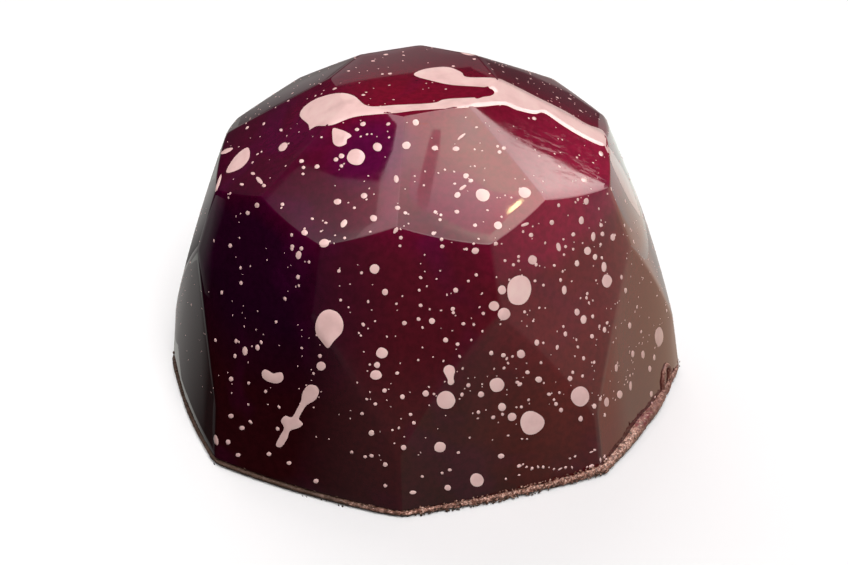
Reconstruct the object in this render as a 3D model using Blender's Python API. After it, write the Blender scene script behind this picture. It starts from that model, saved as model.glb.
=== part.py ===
"""A moulded chocolate bonbon shaped like a cut gem, standing on the thin layer that closes it.

The gem has eight equal sides. Going up, each side has a lower facet that stands on the foot, a
shield-shaped wall facet, and a sloping crown facet. A small table closes the top. The facets bulge a
little, as a moulded sweet's do, so the edges between them are gentle curves. Every corner is worked
out as the point where its three facets meet. Lengths are in millimetres until the meshes are made.
"""
import math

import bmesh
import bpy
import numpy as np
from mathutils import Vector

MM = 0.001
SIDES = 8
STEP = 360.0 / SIDES
START_TURN = -6.0
SHIELD_TURN = 2.0

FOOT_RADIUS = 14.28
LOWER_LEAN = 7.2
LOWER_BULGE = 45.0
LOWER_BULGE_UP = 400.0

SHIELD_RADIUS = 12.82
SHIELD_HEIGHT = 9.2
SHIELD_LEAN = 19.0
SHIELD_BULGE_ACROSS = 27.0
SHIELD_BULGE_UP = 103.0

CROWN_RADIUS = 11.43
CROWN_HEIGHT = 14.14
CROWN_LEAN = 57.7
CROWN_BULGE = 300.0

TOP_HEIGHT = 18.65
TABLE_BULGE = 120.0

LAYER_HEIGHT = 0.7
LAYER_OVERHANG = 0.10
LAYER_WAVES = ((6, 0.06, 0.6), (10, 0.05, 2.1), (16, 0.03, 4.0))
LAYER_POINTS = 96
LAYER_EDGE = 0.16
LIP_TURN = 48.0
LIP_HALF_WIDTH = 36.0
LIP_SIZE = 0.40
GAP = 0.3
SHELL_FOOT = LAYER_HEIGHT + GAP

EDGE_ROUND = 0.24
EDGE_SEGMENTS = 2
HALF_EDGE_STEPS = 3
SMOOTH_ANGLE = 32.0

CORNER_GUESS = {
    "shoulder_top": (10.6, 15.2, 0.0),
    "shoulder_side": (11.4, 14.1, 0.5),
    "wall_side": (12.9, 10.7, 0.5),
    "wall_tip": (14.6, 3.0, 0.0),
    "foot": (15.0, SHELL_FOOT, 0.0),
    "table": (4.5, 18.6, 0.0),
}


def clear_scene():
    for thing in list(bpy.data.objects):
        bpy.data.objects.remove(thing, do_unlink=True)


def plain_material(name, colour, roughness):
    material = bpy.data.materials.new(name)
    material.use_nodes = True
    shader = material.node_tree.nodes["Principled BSDF"]
    shader.inputs["Base Color"].default_value = (*colour, 1.0)
    shader.inputs["Roughness"].default_value = roughness
    shader.inputs["Metallic"].default_value = 0.0
    return material


def coloured_shell_material():
    return plain_material("burgundy_cocoa_butter", (0.075, 0.008, 0.022), 0.12)


def scraped_chocolate_material():
    return plain_material("scraped_chocolate", (0.11, 0.045, 0.028), 0.6)


def outward(turn):
    """The level direction that a side at this turn faces, counted from the front, rightward."""
    angle = math.radians(turn)
    return np.array([math.sin(angle), -math.cos(angle), 0.0])


def facet(turn, radius, height, lean, bulge_across, bulge_up):
    """A facet through the point at radius and height, bulging with the two given radii."""
    out = outward(turn)
    up = np.array([0.0, 0.0, 1.0])
    tilt = math.radians(lean)
    return {
        "point": out * radius + up * height,
        "normal": out * math.cos(tilt) + up * math.sin(tilt),
        "across": np.cross(up, out),
        "along": up * math.cos(tilt) - out * math.sin(tilt),
        "bulge_across": bulge_across,
        "bulge_along": bulge_up,
    }


def height_over(face, place):
    """How far a place lies outside a facet's surface, and the direction in which that grows."""
    offset = place - face["point"]
    side = offset @ face["across"]
    rise = offset @ face["along"]
    value = offset @ face["normal"]
    value += side * side / (2.0 * face["bulge_across"])
    value += rise * rise / (2.0 * face["bulge_along"])
    growth = face["normal"] + face["across"] * side / face["bulge_across"]
    growth = growth + face["along"] * rise / face["bulge_along"]
    return value, growth


def meet(faces, place):
    """Moves a place by the shortest way onto all the given facets at once."""
    place = np.array(place, float)
    for _ in range(12):
        found = [height_over(face, place) for face in faces]
        values = np.array([value for value, _ in found])
        growths = np.array([growth for _, growth in found])
        place = place - np.linalg.pinv(growths) @ values
    return place


def lower_facet(side):
    turn = START_TURN + (side + 0.5) * STEP
    return facet(turn, FOOT_RADIUS, 0.0, LOWER_LEAN, LOWER_BULGE, LOWER_BULGE_UP)


def gem_facets():
    """The facets by name, each with its corners in order round its edge."""
    gem = {}
    for side in range(SIDES):
        turn = START_TURN + side * STEP
        before = (side - 1) % SIDES
        after = (side + 1) % SIDES
        shield = facet(turn + SHIELD_TURN, SHIELD_RADIUS, SHIELD_HEIGHT, SHIELD_LEAN,
                       SHIELD_BULGE_ACROSS, SHIELD_BULGE_UP)
        lower = lower_facet(side)
        crown = facet(turn + STEP / 2, CROWN_RADIUS, CROWN_HEIGHT, CROWN_LEAN, CROWN_BULGE, CROWN_BULGE)
        gem["shield", side] = (shield, [
            ("wall_tip", side), ("wall_side", side), ("shoulder_side", side),
            ("shoulder_top", side), ("shoulder_side", before), ("wall_side", before)])
        gem["lower", side] = (lower, [
            ("foot", side), ("foot", after), ("wall_tip", after), ("wall_side", side), ("wall_tip", side)])
        gem["crown", side] = (crown, [
            ("shoulder_top", side), ("shoulder_side", side), ("shoulder_top", after),
            ("table", after), ("table", side)])
    table = facet(0.0, 0.0, TOP_HEIGHT, 90.0, TABLE_BULGE, TABLE_BULGE)
    gem["table", 0] = (table, [("table", side) for side in range(SIDES)])
    flat = facet(0.0, 0.0, SHELL_FOOT, -90.0, math.inf, math.inf)
    gem["foot", 0] = (flat, [("foot", side) for side in reversed(range(SIDES))])
    return gem


def corner_places(gem):
    """Each corner lies where all the facets that name it meet."""
    touching = {}
    for face, corners in gem.values():
        for corner in corners:
            touching.setdefault(corner, []).append(face)
    places = {}
    for (ring, side), faces in touching.items():
        radius, height, half = CORNER_GUESS[ring]
        guess = outward(START_TURN + (side + half) * STEP) * radius + np.array([0.0, 0.0, height])
        places[ring, side] = meet(faces, guess)
    return places


def edge_places(gem, corners, half_steps):
    """Points along each edge, on both of its facets, listed from either end."""
    sharing = {}
    for face, ring in gem.values():
        for first, last in zip(ring, ring[1:] + ring[:1]):
            sharing.setdefault(frozenset((first, last)), []).append(face)
    edges = {}
    steps = 2 * half_steps
    for pair, faces in sharing.items():
        first, last = sorted(pair)
        line = []
        for number in range(steps + 1):
            share = number / steps
            line.append(meet(faces, corners[first] * (1 - share) + corners[last] * share))
        edges[first, last] = line
        edges[last, first] = line[::-1]
    return edges


def patch(face, ahead, behind, middle, half_steps):
    """A square grid of points on a facet, from a corner to the facet's middle."""
    corner, ahead_end, behind_end = ahead[0], ahead[-1], behind[-1]
    grid = []
    for row in range(half_steps + 1):
        v = row / half_steps
        line = []
        for column in range(half_steps + 1):
            u = column / half_steps
            lengthwise = (1 - v) * ahead[column] + v * (behind_end * (1 - u) + middle * u)
            crosswise = (1 - u) * behind[row] + u * (ahead_end * (1 - v) + middle * v)
            flat = (1 - v) * (corner * (1 - u) + ahead_end * u) + v * (behind_end * (1 - u) + middle * u)
            place = lengthwise + crosswise - flat
            on_edge = row == 0 or column == 0
            line.append(place if on_edge else meet([face], place))
        grid.append(line)
    return grid


def add_facet(mesh, layer, number, face, ring, edges, half_steps):
    """Fills one facet with patches, one for each of its corners, that share its middle."""
    halfway = [edges[first, last][half_steps] for first, last in zip(ring, ring[1:] + ring[:1])]
    middle = meet([face], np.mean(halfway, axis=0))
    count = len(ring)
    for index, corner in enumerate(ring):
        ahead = edges[corner, ring[(index + 1) % count]][:half_steps + 1]
        behind = edges[corner, ring[index - 1]][:half_steps + 1]
        grid = patch(face, ahead, behind, middle, half_steps)
        made = [[mesh.verts.new(Vector(place) * MM) for place in line] for line in grid]
        for row in range(half_steps):
            for column in range(half_steps):
                quad = mesh.faces.new((
                    made[row][column], made[row][column + 1],
                    made[row + 1][column + 1], made[row + 1][column]))
                quad[layer] = number


def gem_mesh(half_steps):
    """The whole gem as one closed surface whose facets meet in crisp edges."""
    gem = gem_facets()
    corners = corner_places(gem)
    edges = edge_places(gem, corners, half_steps)
    mesh = bmesh.new()
    layer = mesh.faces.layers.int.new("facet")
    for number, (face, ring) in enumerate(gem.values()):
        add_facet(mesh, layer, number, face, ring, edges, half_steps)
    bmesh.ops.remove_doubles(mesh, verts=mesh.verts, dist=0.002 * MM)
    return mesh, layer


def round_edges(mesh, layer):
    crisp = [edge for edge in mesh.edges
             if edge.link_faces[0][layer] != edge.link_faces[1][layer]]
    bmesh.ops.bevel(mesh, geom=crisp, offset=EDGE_ROUND * MM, segments=EDGE_SEGMENTS,
                    profile=0.5, affect="EDGES")


def finish_object(name, mesh, material):
    """Turns a finished bmesh into a named object with smooth facets and crisp turns."""
    bmesh.ops.recalc_face_normals(mesh, faces=mesh.faces)
    data = bpy.data.meshes.new(name)
    mesh.to_mesh(data)
    mesh.free()
    data.shade_smooth()
    data.set_sharp_from_angle(angle=math.radians(SMOOTH_ANGLE))
    data.materials.append(material)
    made = bpy.data.objects.new(name, data)
    bpy.context.collection.objects.link(made)
    return made


def make_shell():
    mesh, layer = gem_mesh(HALF_EDGE_STEPS)
    round_edges(mesh, layer)
    return finish_object("shell", mesh, coloured_shell_material())


def lip_size(turn):
    """How far the foot stands out at the front right, fading to nothing on either side."""
    share = min(1.0, abs(turn - LIP_TURN) / LIP_HALF_WIDTH)
    return LIP_SIZE * (1.0 + math.cos(math.pi * share)) / 2.0


def foot_outline(height, grow):
    """The rounded eight-sided outline of the foot at a height, a little uneven from scraping."""
    lower = [lower_facet(side) for side in range(SIDES)]
    outline = []
    for number in range(LAYER_POINTS):
        turn = START_TURN + 360.0 * number / LAYER_POINTS
        side = int(number * SIDES / LAYER_POINTS)
        level = facet(0.0, 0.0, height, 90.0, math.inf, math.inf)
        across = outward(turn + 90.0)
        through_axis = {"point": np.zeros(3), "normal": across, "across": np.zeros(3),
                        "along": np.zeros(3), "bulge_across": math.inf, "bulge_along": math.inf}
        place = meet([lower[side], level, through_axis], outward(turn) * FOOT_RADIUS)
        uneven = sum(size * math.sin(count * math.radians(turn) + start)
                     for count, size, start in LAYER_WAVES)
        outline.append(place + outward(turn) * (grow + uneven + lip_size(turn)))
    return outline


def make_closing_layer():
    """The thin layer that closes the bonbon's underside, with its edge eased above and below."""
    mesh = bmesh.new()
    levels = ((0.0, LAYER_OVERHANG - LAYER_EDGE), (LAYER_EDGE, LAYER_OVERHANG),
              (LAYER_HEIGHT - LAYER_EDGE, LAYER_OVERHANG), (LAYER_HEIGHT, LAYER_OVERHANG - LAYER_EDGE))
    rings = []
    for height, grow in levels:
        rings.append([mesh.verts.new(Vector(place) * MM) for place in foot_outline(height, grow)])
    for low, high in zip(rings, rings[1:]):
        for number in range(LAYER_POINTS):
            after = (number + 1) % LAYER_POINTS
            mesh.faces.new((low[number], low[after], high[after], high[number]))
    mesh.faces.new(rings[0][::-1])
    mesh.faces.new(rings[-1])
    return finish_object("closing_layer", mesh, scraped_chocolate_material())


def main():
    clear_scene()
    make_closing_layer()
    make_shell()


main()
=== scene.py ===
"""The looks of a moulded chocolate bonbon shaped like a cut gem.

The gem's surface is made again here, finer than the solid, from the same facets. Its colour is sprayed
cocoa butter, burgundy below and crimson on the crown, under pale pink splashes. Lengths are millimetres
until a mesh is made. Pixels are those of the photograph, 848 wide and 565 high.
"""
import math
import random

import bmesh
import bpy
import numpy as np
from mathutils import Matrix, Vector, noise
from mathutils.bvhtree import BVHTree
from mathutils.geometry import delaunay_2d_cdt


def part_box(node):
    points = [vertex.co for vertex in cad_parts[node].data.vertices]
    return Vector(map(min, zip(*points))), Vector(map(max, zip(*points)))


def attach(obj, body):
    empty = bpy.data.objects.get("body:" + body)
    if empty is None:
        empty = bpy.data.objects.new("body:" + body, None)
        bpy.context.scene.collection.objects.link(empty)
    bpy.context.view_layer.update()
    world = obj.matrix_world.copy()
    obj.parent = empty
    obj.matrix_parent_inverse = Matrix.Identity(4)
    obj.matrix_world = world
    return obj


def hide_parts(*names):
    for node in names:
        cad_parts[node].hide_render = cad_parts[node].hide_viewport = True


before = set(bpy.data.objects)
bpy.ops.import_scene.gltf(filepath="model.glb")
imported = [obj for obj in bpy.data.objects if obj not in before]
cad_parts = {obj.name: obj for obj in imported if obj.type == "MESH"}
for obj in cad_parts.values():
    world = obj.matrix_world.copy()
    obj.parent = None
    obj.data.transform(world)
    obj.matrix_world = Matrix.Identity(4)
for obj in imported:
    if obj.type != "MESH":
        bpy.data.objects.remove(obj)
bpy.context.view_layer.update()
_, shell_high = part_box("shell")

MM = 0.001
PHOTO_WIDTH = 848
PHOTO_HEIGHT = 565

# The gem's facets: places, leans from upright in degrees, and radii of their bulges

SIDES = 8
STEP = 360.0 / SIDES
START_TURN = -6.0
SHIELD_TURN = 2.0
FOOT_RADIUS = 14.28
LOWER_LEAN = 7.2
LOWER_BULGE = 45.0
LOWER_BULGE_UP = 400.0
SHIELD_RADIUS = 12.82
SHIELD_HEIGHT = 9.2
SHIELD_LEAN = 19.0
SHIELD_BULGE_ACROSS = 27.0
SHIELD_BULGE_UP = 103.0
CROWN_RADIUS = 11.43
CROWN_HEIGHT = 14.14
CROWN_LEAN = 57.7
CROWN_BULGE = 300.0
TABLE_BULGE = 120.0
FILM_ROOM = 0.03
TOP_HEIGHT = shell_high.z / MM - FILM_ROOM
SHELL_FOOT = 0.5

# Where the search for each ring of corners starts: radius, height and share of a step round the gem

CORNER_GUESS = {
    "shoulder_top": (10.6, 15.2, 0.0),
    "shoulder_side": (11.4, 14.1, 0.5),
    "wall_side": (12.9, 10.7, 0.5),
    "wall_tip": (14.6, 3.0, 0.0),
    "foot": (15.0, SHELL_FOOT, 0.0),
    "table": (4.5, 18.6, 0.0),
}
MEET_STEPS = 10
HALF_EDGE_STEPS = 14
EDGE_EASE = 0.6
WELD_DISTANCE = 0.002

# The widest rounding of an edge, and the share of it that each kind of edge has in front and at the side

EDGE_ROUND = 0.38
EDGE_SEGMENTS = 4
EDGE_SHARES = {
    ("crown", "crown"): 0.26,
    ("crown", "table"): 0.28,
    ("crown", "shield"): 0.36,
    ("shield", "shield"): 1.0,
    ("lower", "shield"): 1.0,
    ("lower", "lower"): 1.0,
    ("foot", "lower"): 0.2,
}
SIDE_SHARE = 1.0
SIDE_FACING = (0.42, 0.15)
FACET_WEIGHT = 90
GEM_SMOOTH_ANGLE = 40.0
WAVE_SIZE = 4.0
WAVE_HEIGHT = 0.0015
WAVE_SEED = 3.1
GEM_MIDDLE = (0.0, 0.0, 4.0)

# The camera that sees the gem as the photograph does, with angles in degrees

CAMERA_TARGET = (0.0, 0.0, 7.65)
CAMERA_DISTANCE = 115.3
CAMERA_ELEVATION = 29.65
CAMERA_ROLL = 2.17
CAMERA_PAN = 0.13
CAMERA_TILT = -0.855
CAMERA_LENS = 85.47
SENSOR_WIDTH = 36.0
CLIP_START = 5.0
CLIP_END = 5000.0
PIXELS_PER_MM = 17.4

# The films of pink cocoa butter

FILM_LIFT = 0.020
FILM_RIM_LIFT = 0.003
FILM_DEPTH = 0.04
FILM_EDGE_PIXELS = 2.5
FILM_SMOOTH_ANGLE = 40.0
OUTLINE_STEPS = 5
OUTLINE_SPACING = 1.7
SPOT_UNEVEN = 0.10
FAR_SPOTS = 60
FAR_SPOTS_FROM = 1.5
FAR_SPOT_SIZES = (0.13, 0.06, 0.6)
FAR_SPOT_SEED = 41
SPECKS = 1300
SPECKS_FROM = 1.3
SPECK_SIZES = (0.030, 0.12, 0.65)
SPECK_SEED = 7
SPECK_DRIFT = 12.0

# Meshes of spots: the size up to which each is used, its segments, and its rings as shares of the radius

SEEN_RINGS = ((2.5, 10, (0.7, 1.0)), (6.0, 16, (0.5, 0.8, 1.0)), (math.inf, 28, (0.5, 0.8, 1.0)))
PLACED_RINGS = ((0.09, 8, (1.0,)), (0.25, 12, (0.6, 1.0)), (math.inf, 24, (0.4, 0.75, 1.0)))

# Outlines of the pink drizzle over the crown, as the photograph's pixels

LONG_DRIZZLE = (
    (300, 116), (304, 107), (318, 98), (339, 93), (354, 96), (368, 106), (396, 105), (433, 103), (447, 99),
    (490, 96), (489, 88), (453, 85), (433, 81), (414, 75), (425, 69), (447, 67), (461, 72), (467, 77),
    (495, 78), (509, 83), (537, 97), (565, 111), (587, 124), (602, 130), (606, 138), (603, 146),
    (582, 137), (562, 125), (544, 113), (534, 114), (517, 110), (503, 105), (478, 107), (422, 110),
    (396, 113), (380, 114), (354, 117), (332, 125), (317, 126), (310, 129), (308, 124))
SIDE_STREAK = (
    (603, 141), (609, 147), (618, 161), (627, 177), (634, 194), (638, 207), (640, 216), (635, 209),
    (627, 196), (615, 171), (609, 156))
DRIZZLES = (LONG_DRIZZLE, SIDE_STREAK)

# Spots that the photograph shows: x, y, half width, half height in pixels, tilt in degrees

SEEN_SPOTS = (
    (356, 157, 9, 8, 0), (377.5, 147, 4.5, 4.3, 0), (341.5, 156, 2.7, 2.5, 0),
    (336, 159.5, 2.4, 2.1, -20), (341.5, 166, 1.8, 1.8, 0), (363, 124, 2.8, 2.1, -20),
    (357, 129.5, 2.2, 1.6, 0), (283, 147, 5.2, 3.4, -42), (281, 130, 1.6, 1.5, 0),
    (301.5, 161, 2.4, 1.9, -15), (303.5, 167.5, 1.8, 1.6, 0), (317, 166.5, 2.6, 2.0, -20),
    (303, 174, 1.5, 1.4, 0), (253, 173.5, 2.2, 1.5, 10), (259.5, 180.5, 4.4, 2.0, 48),
    (264, 185.5, 2.0, 1.8, 0), (241.7, 184.3, 2.1, 1.3, 10), (257, 205.4, 2.3, 2.6, 0),
    (247.7, 213, 2.0, 2.2, 0), (282.4, 204.3, 1.9, 1.7, 0), (337.5, 201.7, 3.8, 2.9, -12),
    (364, 195.8, 3.2, 2.8, -10), (354.3, 207.8, 1.6, 1.4, 0), (343.8, 223.5, 4.4, 2.7, -58),
    (373.7, 218.4, 3.4, 3.0, 0), (312.3, 218.7, 1.5, 1.4, 0), (325.9, 222.9, 1.7, 1.2, 0),
    (304.5, 232.6, 3.1, 2.9, 0), (324.2, 243.1, 5.0, 4.3, -15), (292.3, 246.6, 1.9, 2.3, 0),
    (301.3, 248.5, 1.9, 2.2, 0), (298.5, 255.2, 2.8, 4.3, 8), (230.2, 245.7, 1.7, 2.3, 0),
    (344.6, 238, 1.5, 1.4, 0), (406.4, 145.3, 4.2, 3.6, 0), (482.6, 195, 7.2, 6.3, 10),
    (524.7, 192.6, 6.3, 5.2, 15), (498, 225.3, 4.0, 3.8, 0), (434.9, 148, 3.0, 2.5, 0),
    (415.8, 122.5, 3.2, 3.0, 30), (396.3, 179, 2.4, 3.8, -10), (466, 175.9, 2.8, 2.6, 10),
    (470.8, 180.7, 2.4, 1.9, 0), (457.4, 195, 3.2, 2.7, -30), (463, 187.4, 4.0, 1.6, -35),
    (456.9, 211.8, 2.5, 1.9, 10), (456, 148.8, 3.4, 2.4, 0), (497.6, 146.4, 1.5, 1.4, 0),
    (504, 148, 2.3, 1.9, 0), (499.5, 152, 2.0, 1.8, 0), (534.2, 118.5, 2.3, 1.6, 20),
    (461.5, 136.5, 4.8, 1.4, -40), (584.4, 179.5, 3.4, 2.5, 20), (601, 153.6, 1.9, 2.9, -35),
    (586.2, 201.4, 2.4, 3.4, 0), (581.3, 220.5, 2.5, 4.0, 0), (551.8, 222.4, 2.2, 2.6, 0),
    (573.3, 234.4, 2.0, 2.1, 0), (593.2, 236.5, 2.0, 4.6, 5), (602.5, 234, 1.9, 2.4, 0),
    (612.8, 237.3, 2.3, 3.5, 0), (587.6, 250.8, 3.4, 4.0, 0), (558.5, 247, 2.2, 4.4, -12),
    (475.2, 250.8, 3.6, 3.2, 0), (397.6, 207.8, 2.7, 2.1, 15), (405.4, 213, 2.0, 1.7, 0),
    (373.5, 218, 3.4, 3.1, 0), (435.4, 212, 2.0, 1.7, 0), (440, 219.7, 1.7, 1.5, 0),
    (475, 225.3, 2.0, 1.8, 0), (395.8, 230.4, 3.6, 1.9, -55), (433.5, 233.3, 2.1, 1.9, 0),
    (400.8, 237.7, 1.9, 1.9, 0), (441.6, 239.3, 1.8, 1.8, 0), (442.2, 246.4, 2.2, 1.9, 0),
    (496, 243.6, 2.1, 1.9, 0), (531, 235, 2.2, 2.2, 0), (525, 224.5, 4.2, 1.5, -20),
    (226.5, 151, 6.5, 2.0, -25), (218.5, 183, 9.5, 1.3, -72), (374.5, 269, 4.8, 4.8, 0),
    (385, 292, 3.0, 3.2, 0), (321, 366, 4.5, 4.5, 0), (382, 353, 5.8, 5.4, 10), (376, 375, 5.8, 4.8, 0),
    (377, 365, 3.0, 3.0, 0), (446, 400, 9.3, 9.0, 0), (432, 321, 3.0, 3.0, 0), (519, 290, 12.2, 15.3, 12),
    (502, 290, 4.0, 4.4, 0), (494, 306, 5.2, 4.8, 10), (504, 314, 6.2, 6.2, 0), (532.5, 260, 4.3, 4.7, 0),
    (607, 281, 5.0, 6.6, 0), (604, 267, 2.5, 5.0, 0), (577, 312, 2.5, 3.6, 0),
    (583.5, 319.5, 3.0, 4.2, 0), (580, 396.5, 9.3, 10.0, 0), (532, 423, 12.0, 11.8, 0),
    (497, 385, 7.2, 7.0, 0), (521, 354, 4.0, 4.2, 0), (502, 407, 4.0, 4.0, 0), (512, 417, 4.3, 4.2, 0),
    (440, 447, 5.8, 5.2, -10), (477, 480, 6.6, 6.6, 0), (659, 337, 4.0, 9.6, 2), (231, 416, 2.6, 2.3, 0),
    (242, 428, 2.6, 2.2, 0), (228, 442, 2.4, 2.6, 0), (238, 455, 2.4, 2.0, 0), (269, 454, 2.4, 2.0, 0),
    (289, 463, 2.4, 2.0, 0), (316, 481, 2.6, 2.2, 0), (216, 440, 2.2, 5.5, -12))

# Smaller spots that the photograph shows: x, y, half width and half height in pixels

SMALL_SPOTS = (
    (518.6, 256.6, 1.5, 1.6), (518.6, 261, 1.4, 1.5), (513.5, 264.8, 1.5, 1.6), (505, 260.7, 1.5, 1.5),
    (565.6, 246.6, 1.4, 1.6), (573.3, 249.2, 1.2, 1.4), (564, 254.7, 1.2, 1.4), (554.3, 265.5, 1.5, 1.5),
    (562.7, 271.5, 1.2, 1.4), (560.6, 280, 1.4, 2.1), (564.2, 290, 2.3, 4.4), (577, 263.4, 2.2, 3.1),
    (595, 257, 2.2, 3.0), (601.8, 257.6, 1.2, 1.6), (600.6, 244.4, 1.2, 1.6), (601, 225.2, 1.7, 2.0),
    (535, 281, 1.4, 1.5), (543.5, 285.2, 1.4, 1.5), (587.2, 293.6, 1.3, 1.7), (592.7, 316.4, 1.5, 2.1),
    (524.6, 311.8, 1.5, 1.6), (533.2, 321.2, 1.2, 1.2), (563.4, 326.5, 1.2, 1.5), (565.4, 334, 1.8, 2.6),
    (604.5, 329.8, 1.7, 2.8), (592, 336.3, 1.9, 2.3), (536.8, 342.6, 2.4, 3.0), (543.3, 343, 1.1, 1.3),
    (577.8, 347, 1.3, 1.6), (583.6, 358.2, 1.5, 2.2), (541, 362.7, 1.4, 1.6), (491.2, 353, 2.2, 2.2),
    (503.4, 355.3, 2.4, 2.2), (527.4, 372.3, 2.3, 2.0), (538.7, 379.5, 3.3, 3.0),
    (517.4, 382.4, 2.0, 1.6), (570, 378.5, 2.3, 2.6), (572.8, 372.3, 1.4, 1.8), (468.4, 385.3, 2.1, 2.1),
    (481, 394.4, 3.0, 2.9), (521.4, 407, 1.5, 1.5), (502.5, 414.3, 1.5, 1.5), (478.5, 412.2, 1.9, 1.9),
    (554, 399.7, 1.3, 1.5), (556, 404, 1.9, 2.1), (561, 410, 2.1, 2.3), (559.4, 392.7, 1.3, 1.5),
    (594.3, 406.2, 2.1, 2.6), (606.6, 402.2, 2.4, 4.7), (619.8, 394.5, 2.7, 4.0),
    (630.6, 385.8, 1.3, 4.8), (616.3, 367.8, 1.6, 3.8), (632.8, 354, 1.5, 3.4), (629.7, 325.5, 1.6, 3.2),
    (625.6, 290.5, 1.4, 2.8), (621.5, 277.3, 1.2, 2.3), (580.6, 418.7, 2.2, 2.8), (604.8, 415, 1.2, 2.0),
    (651.3, 394, 1.4, 3.0), (649.8, 368.7, 1.4, 3.1), (643, 354.5, 1.6, 4.1), (654.3, 357.5, 1.1, 3.0),
    (455.7, 290.2, 2.5, 2.4), (476.3, 275, 1.8, 1.7), (468.4, 281, 1.5, 1.4), (473.7, 243.7, 1.5, 1.2),
    (419.2, 290.2, 1.4, 1.5), (445.6, 340, 2.5, 2.5), (457.6, 344.2, 1.9, 1.8), (471.3, 340, 1.2, 1.4),
    (473.7, 324.6, 1.4, 1.4), (482.3, 331.3, 1.2, 1.3), (483.3, 313.5, 1.8, 1.7),
    (425.7, 393.4, 3.3, 3.1), (434, 394, 1.3, 1.3), (402.4, 396.8, 2.4, 2.4), (245, 351, 2.6, 4.4),
    (257.5, 347.5, 2.2, 3.0), (236, 341, 1.6, 2.4), (235, 356, 1.6, 2.4), (231, 379, 2.2, 2.4),
    (265.5, 391.5, 1.6, 1.8), (320, 356, 2.0, 2.0), (241, 283, 1.6, 2.0), (298, 277, 1.8, 2.4),
    (292, 249, 1.6, 1.8), (309, 262, 1.4, 1.6), (276, 322, 1.3, 1.7), (371.3, 433, 2.8, 2.8),
    (403.6, 447.6, 2.7, 2.6), (501.2, 456.1, 3.2, 2.4), (447.8, 487.7, 3.2, 2.8), (449.8, 470, 1.9, 1.6),
    (442, 473, 1.5, 1.3), (422.3, 476.5, 1.6, 1.4), (413, 492.5, 3.4, 1.8), (385.2, 464.6, 2.4, 2.3),
    (385.2, 485.7, 1.9, 1.8), (384.5, 390.5, 2.4, 2.2), (413.8, 422.8, 1.9, 1.8), (362, 413.6, 1.9, 1.6),
    (375.4, 404, 1.8, 1.6))

# Splashes with an outline of their own

SPLASHES = (
    ((316, 322), (321, 313), (329, 309.5), (338, 313), (343, 322), (342, 332), (334, 341), (328, 348),
     (322, 342), (316, 333)),
    ((262, 372), (265, 369.5), (269, 371), (273, 373.5), (278, 372.5), (282, 373), (283.5, 378), (281, 382),
     (275, 383.3), (267, 381), (262.5, 377)),
    ((304, 390), (309, 385), (316, 386), (319, 392), (315, 400), (307, 405), (302, 412), (299, 419),
     (303, 424), (298, 428), (290, 431), (287, 439), (281, 447), (276, 445), (280, 436), (284, 428),
     (281, 421), (285, 416), (292, 417), (297, 409), (301, 401), (302, 395)),
    ((443.5, 371), (445, 366.8), (449.2, 365), (453.6, 366.8), (455, 371), (454, 375), (453.6, 379),
     (454.2, 382.5), (451.2, 385), (448, 383.5), (447.6, 379.5), (446, 376)),
    ((333, 128.5), (340, 129.5), (346.5, 132), (351.5, 136), (347, 139.5), (346, 144), (339, 146.5),
     (334, 144), (332.5, 138)),
    ((248, 147.5), (249.5, 157), (243.5, 166), (235, 171), (226.5, 172.5), (229.5, 164.5), (238, 153.5)))

# Foot: turn, top of the scraped band, depth of its crumbs, how far its lip stands out

FOOT_STATIONS = (
    (-100.0, 0.50, 0.05, 0.02), (-51.0, 0.42, 0.05, 0.02), (-16.0, 0.44, 0.07, 0.02),
    (2.0, 0.50, 0.20, 0.06), (20.0, 0.56, 0.26, 0.14), (38.0, 0.62, 0.22, 0.24), (48.0, 0.78, 0.10, 0.34),
    (57.0, 1.00, 0.12, 0.34), (66.0, 0.78, 0.10, 0.28), (76.0, 0.70, 0.10, 0.06), (84.0, 0.60, 0.10, 0.0),
    (100.0, 0.55, 0.10, 0.0), (180.0, 0.52, 0.09, 0.0), (260.0, 0.50, 0.05, 0.02))

# Section of the foot from below to above: share of the band's height, and how far out from the wall

FOOT_DEPTH = -1.6
FOOT_PROFILE = (
    (0.0, FOOT_DEPTH), (0.0, -0.22), (0.06, -0.12), (0.16, -0.06), (0.28, -0.02), (0.40, 0.04),
    (0.52, 0.08), (0.64, 0.10), (0.75, 0.10), (0.85, 0.06), (0.93, 0.0), (0.98, -0.10), (1.0, -0.25),
    (0.97, FOOT_DEPTH))
FOOT_REACH = 0.10
FOOT_POINTS = 1600
FOOT_LEVEL = 0.4
FOOT_SOFTENING = (-1.5, 0.0, 1.5)
FOOT_SMOOTH_ANGLE = 60.0
COARSE_GRAIN = 0.42
FINE_GRAIN = 0.20
FOOT_RIPPLE = 0.8
FOOT_SEED = 5.0

# Chips that the photograph shows above the foot: x, y and half size in pixels

SEEN_CHIPS = (
    (519, 466, 1.7), (523, 464.5, 1.3), (526.5, 467, 1.6), (532, 468.5, 2.0), (538, 467, 1.3),
    (543, 467, 1.6), (549, 467.5, 1.2), (554, 469, 1.1), (560, 469, 1.6), (565.5, 467.5, 1.7),
    (572, 467.5, 1.5), (575, 456.5, 1.5), (570, 458.5, 1.1), (591.5, 452, 1.5), (594.5, 450, 1.3),
    (591.5, 466, 2.0), (587, 467, 1.5), (600.5, 460, 1.8), (604.5, 456.5, 1.8), (606, 459, 1.6),
    (522, 439, 1.1), (527, 439, 1.2), (506, 479, 1.2), (519, 475, 1.1), (648, 412, 1.4), (652, 403, 1.3),
    (655, 397, 1.4))
CURL_PIXEL = (666, 379)
CURL_SIZE = (0.62, 0.80, 0.15)
CURL_TILT = 24.0
CURL_STEPS = 40
CURL_SIDES = 10
CURL_UNEVEN = 0.35
CURL_RIPPLE = 0.4
CURL_SEED = 7.0
STAIN_PIXEL = (641, 414)
STAIN_SIZE = 1.3
EDGE_CRUMBS = 520
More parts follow.
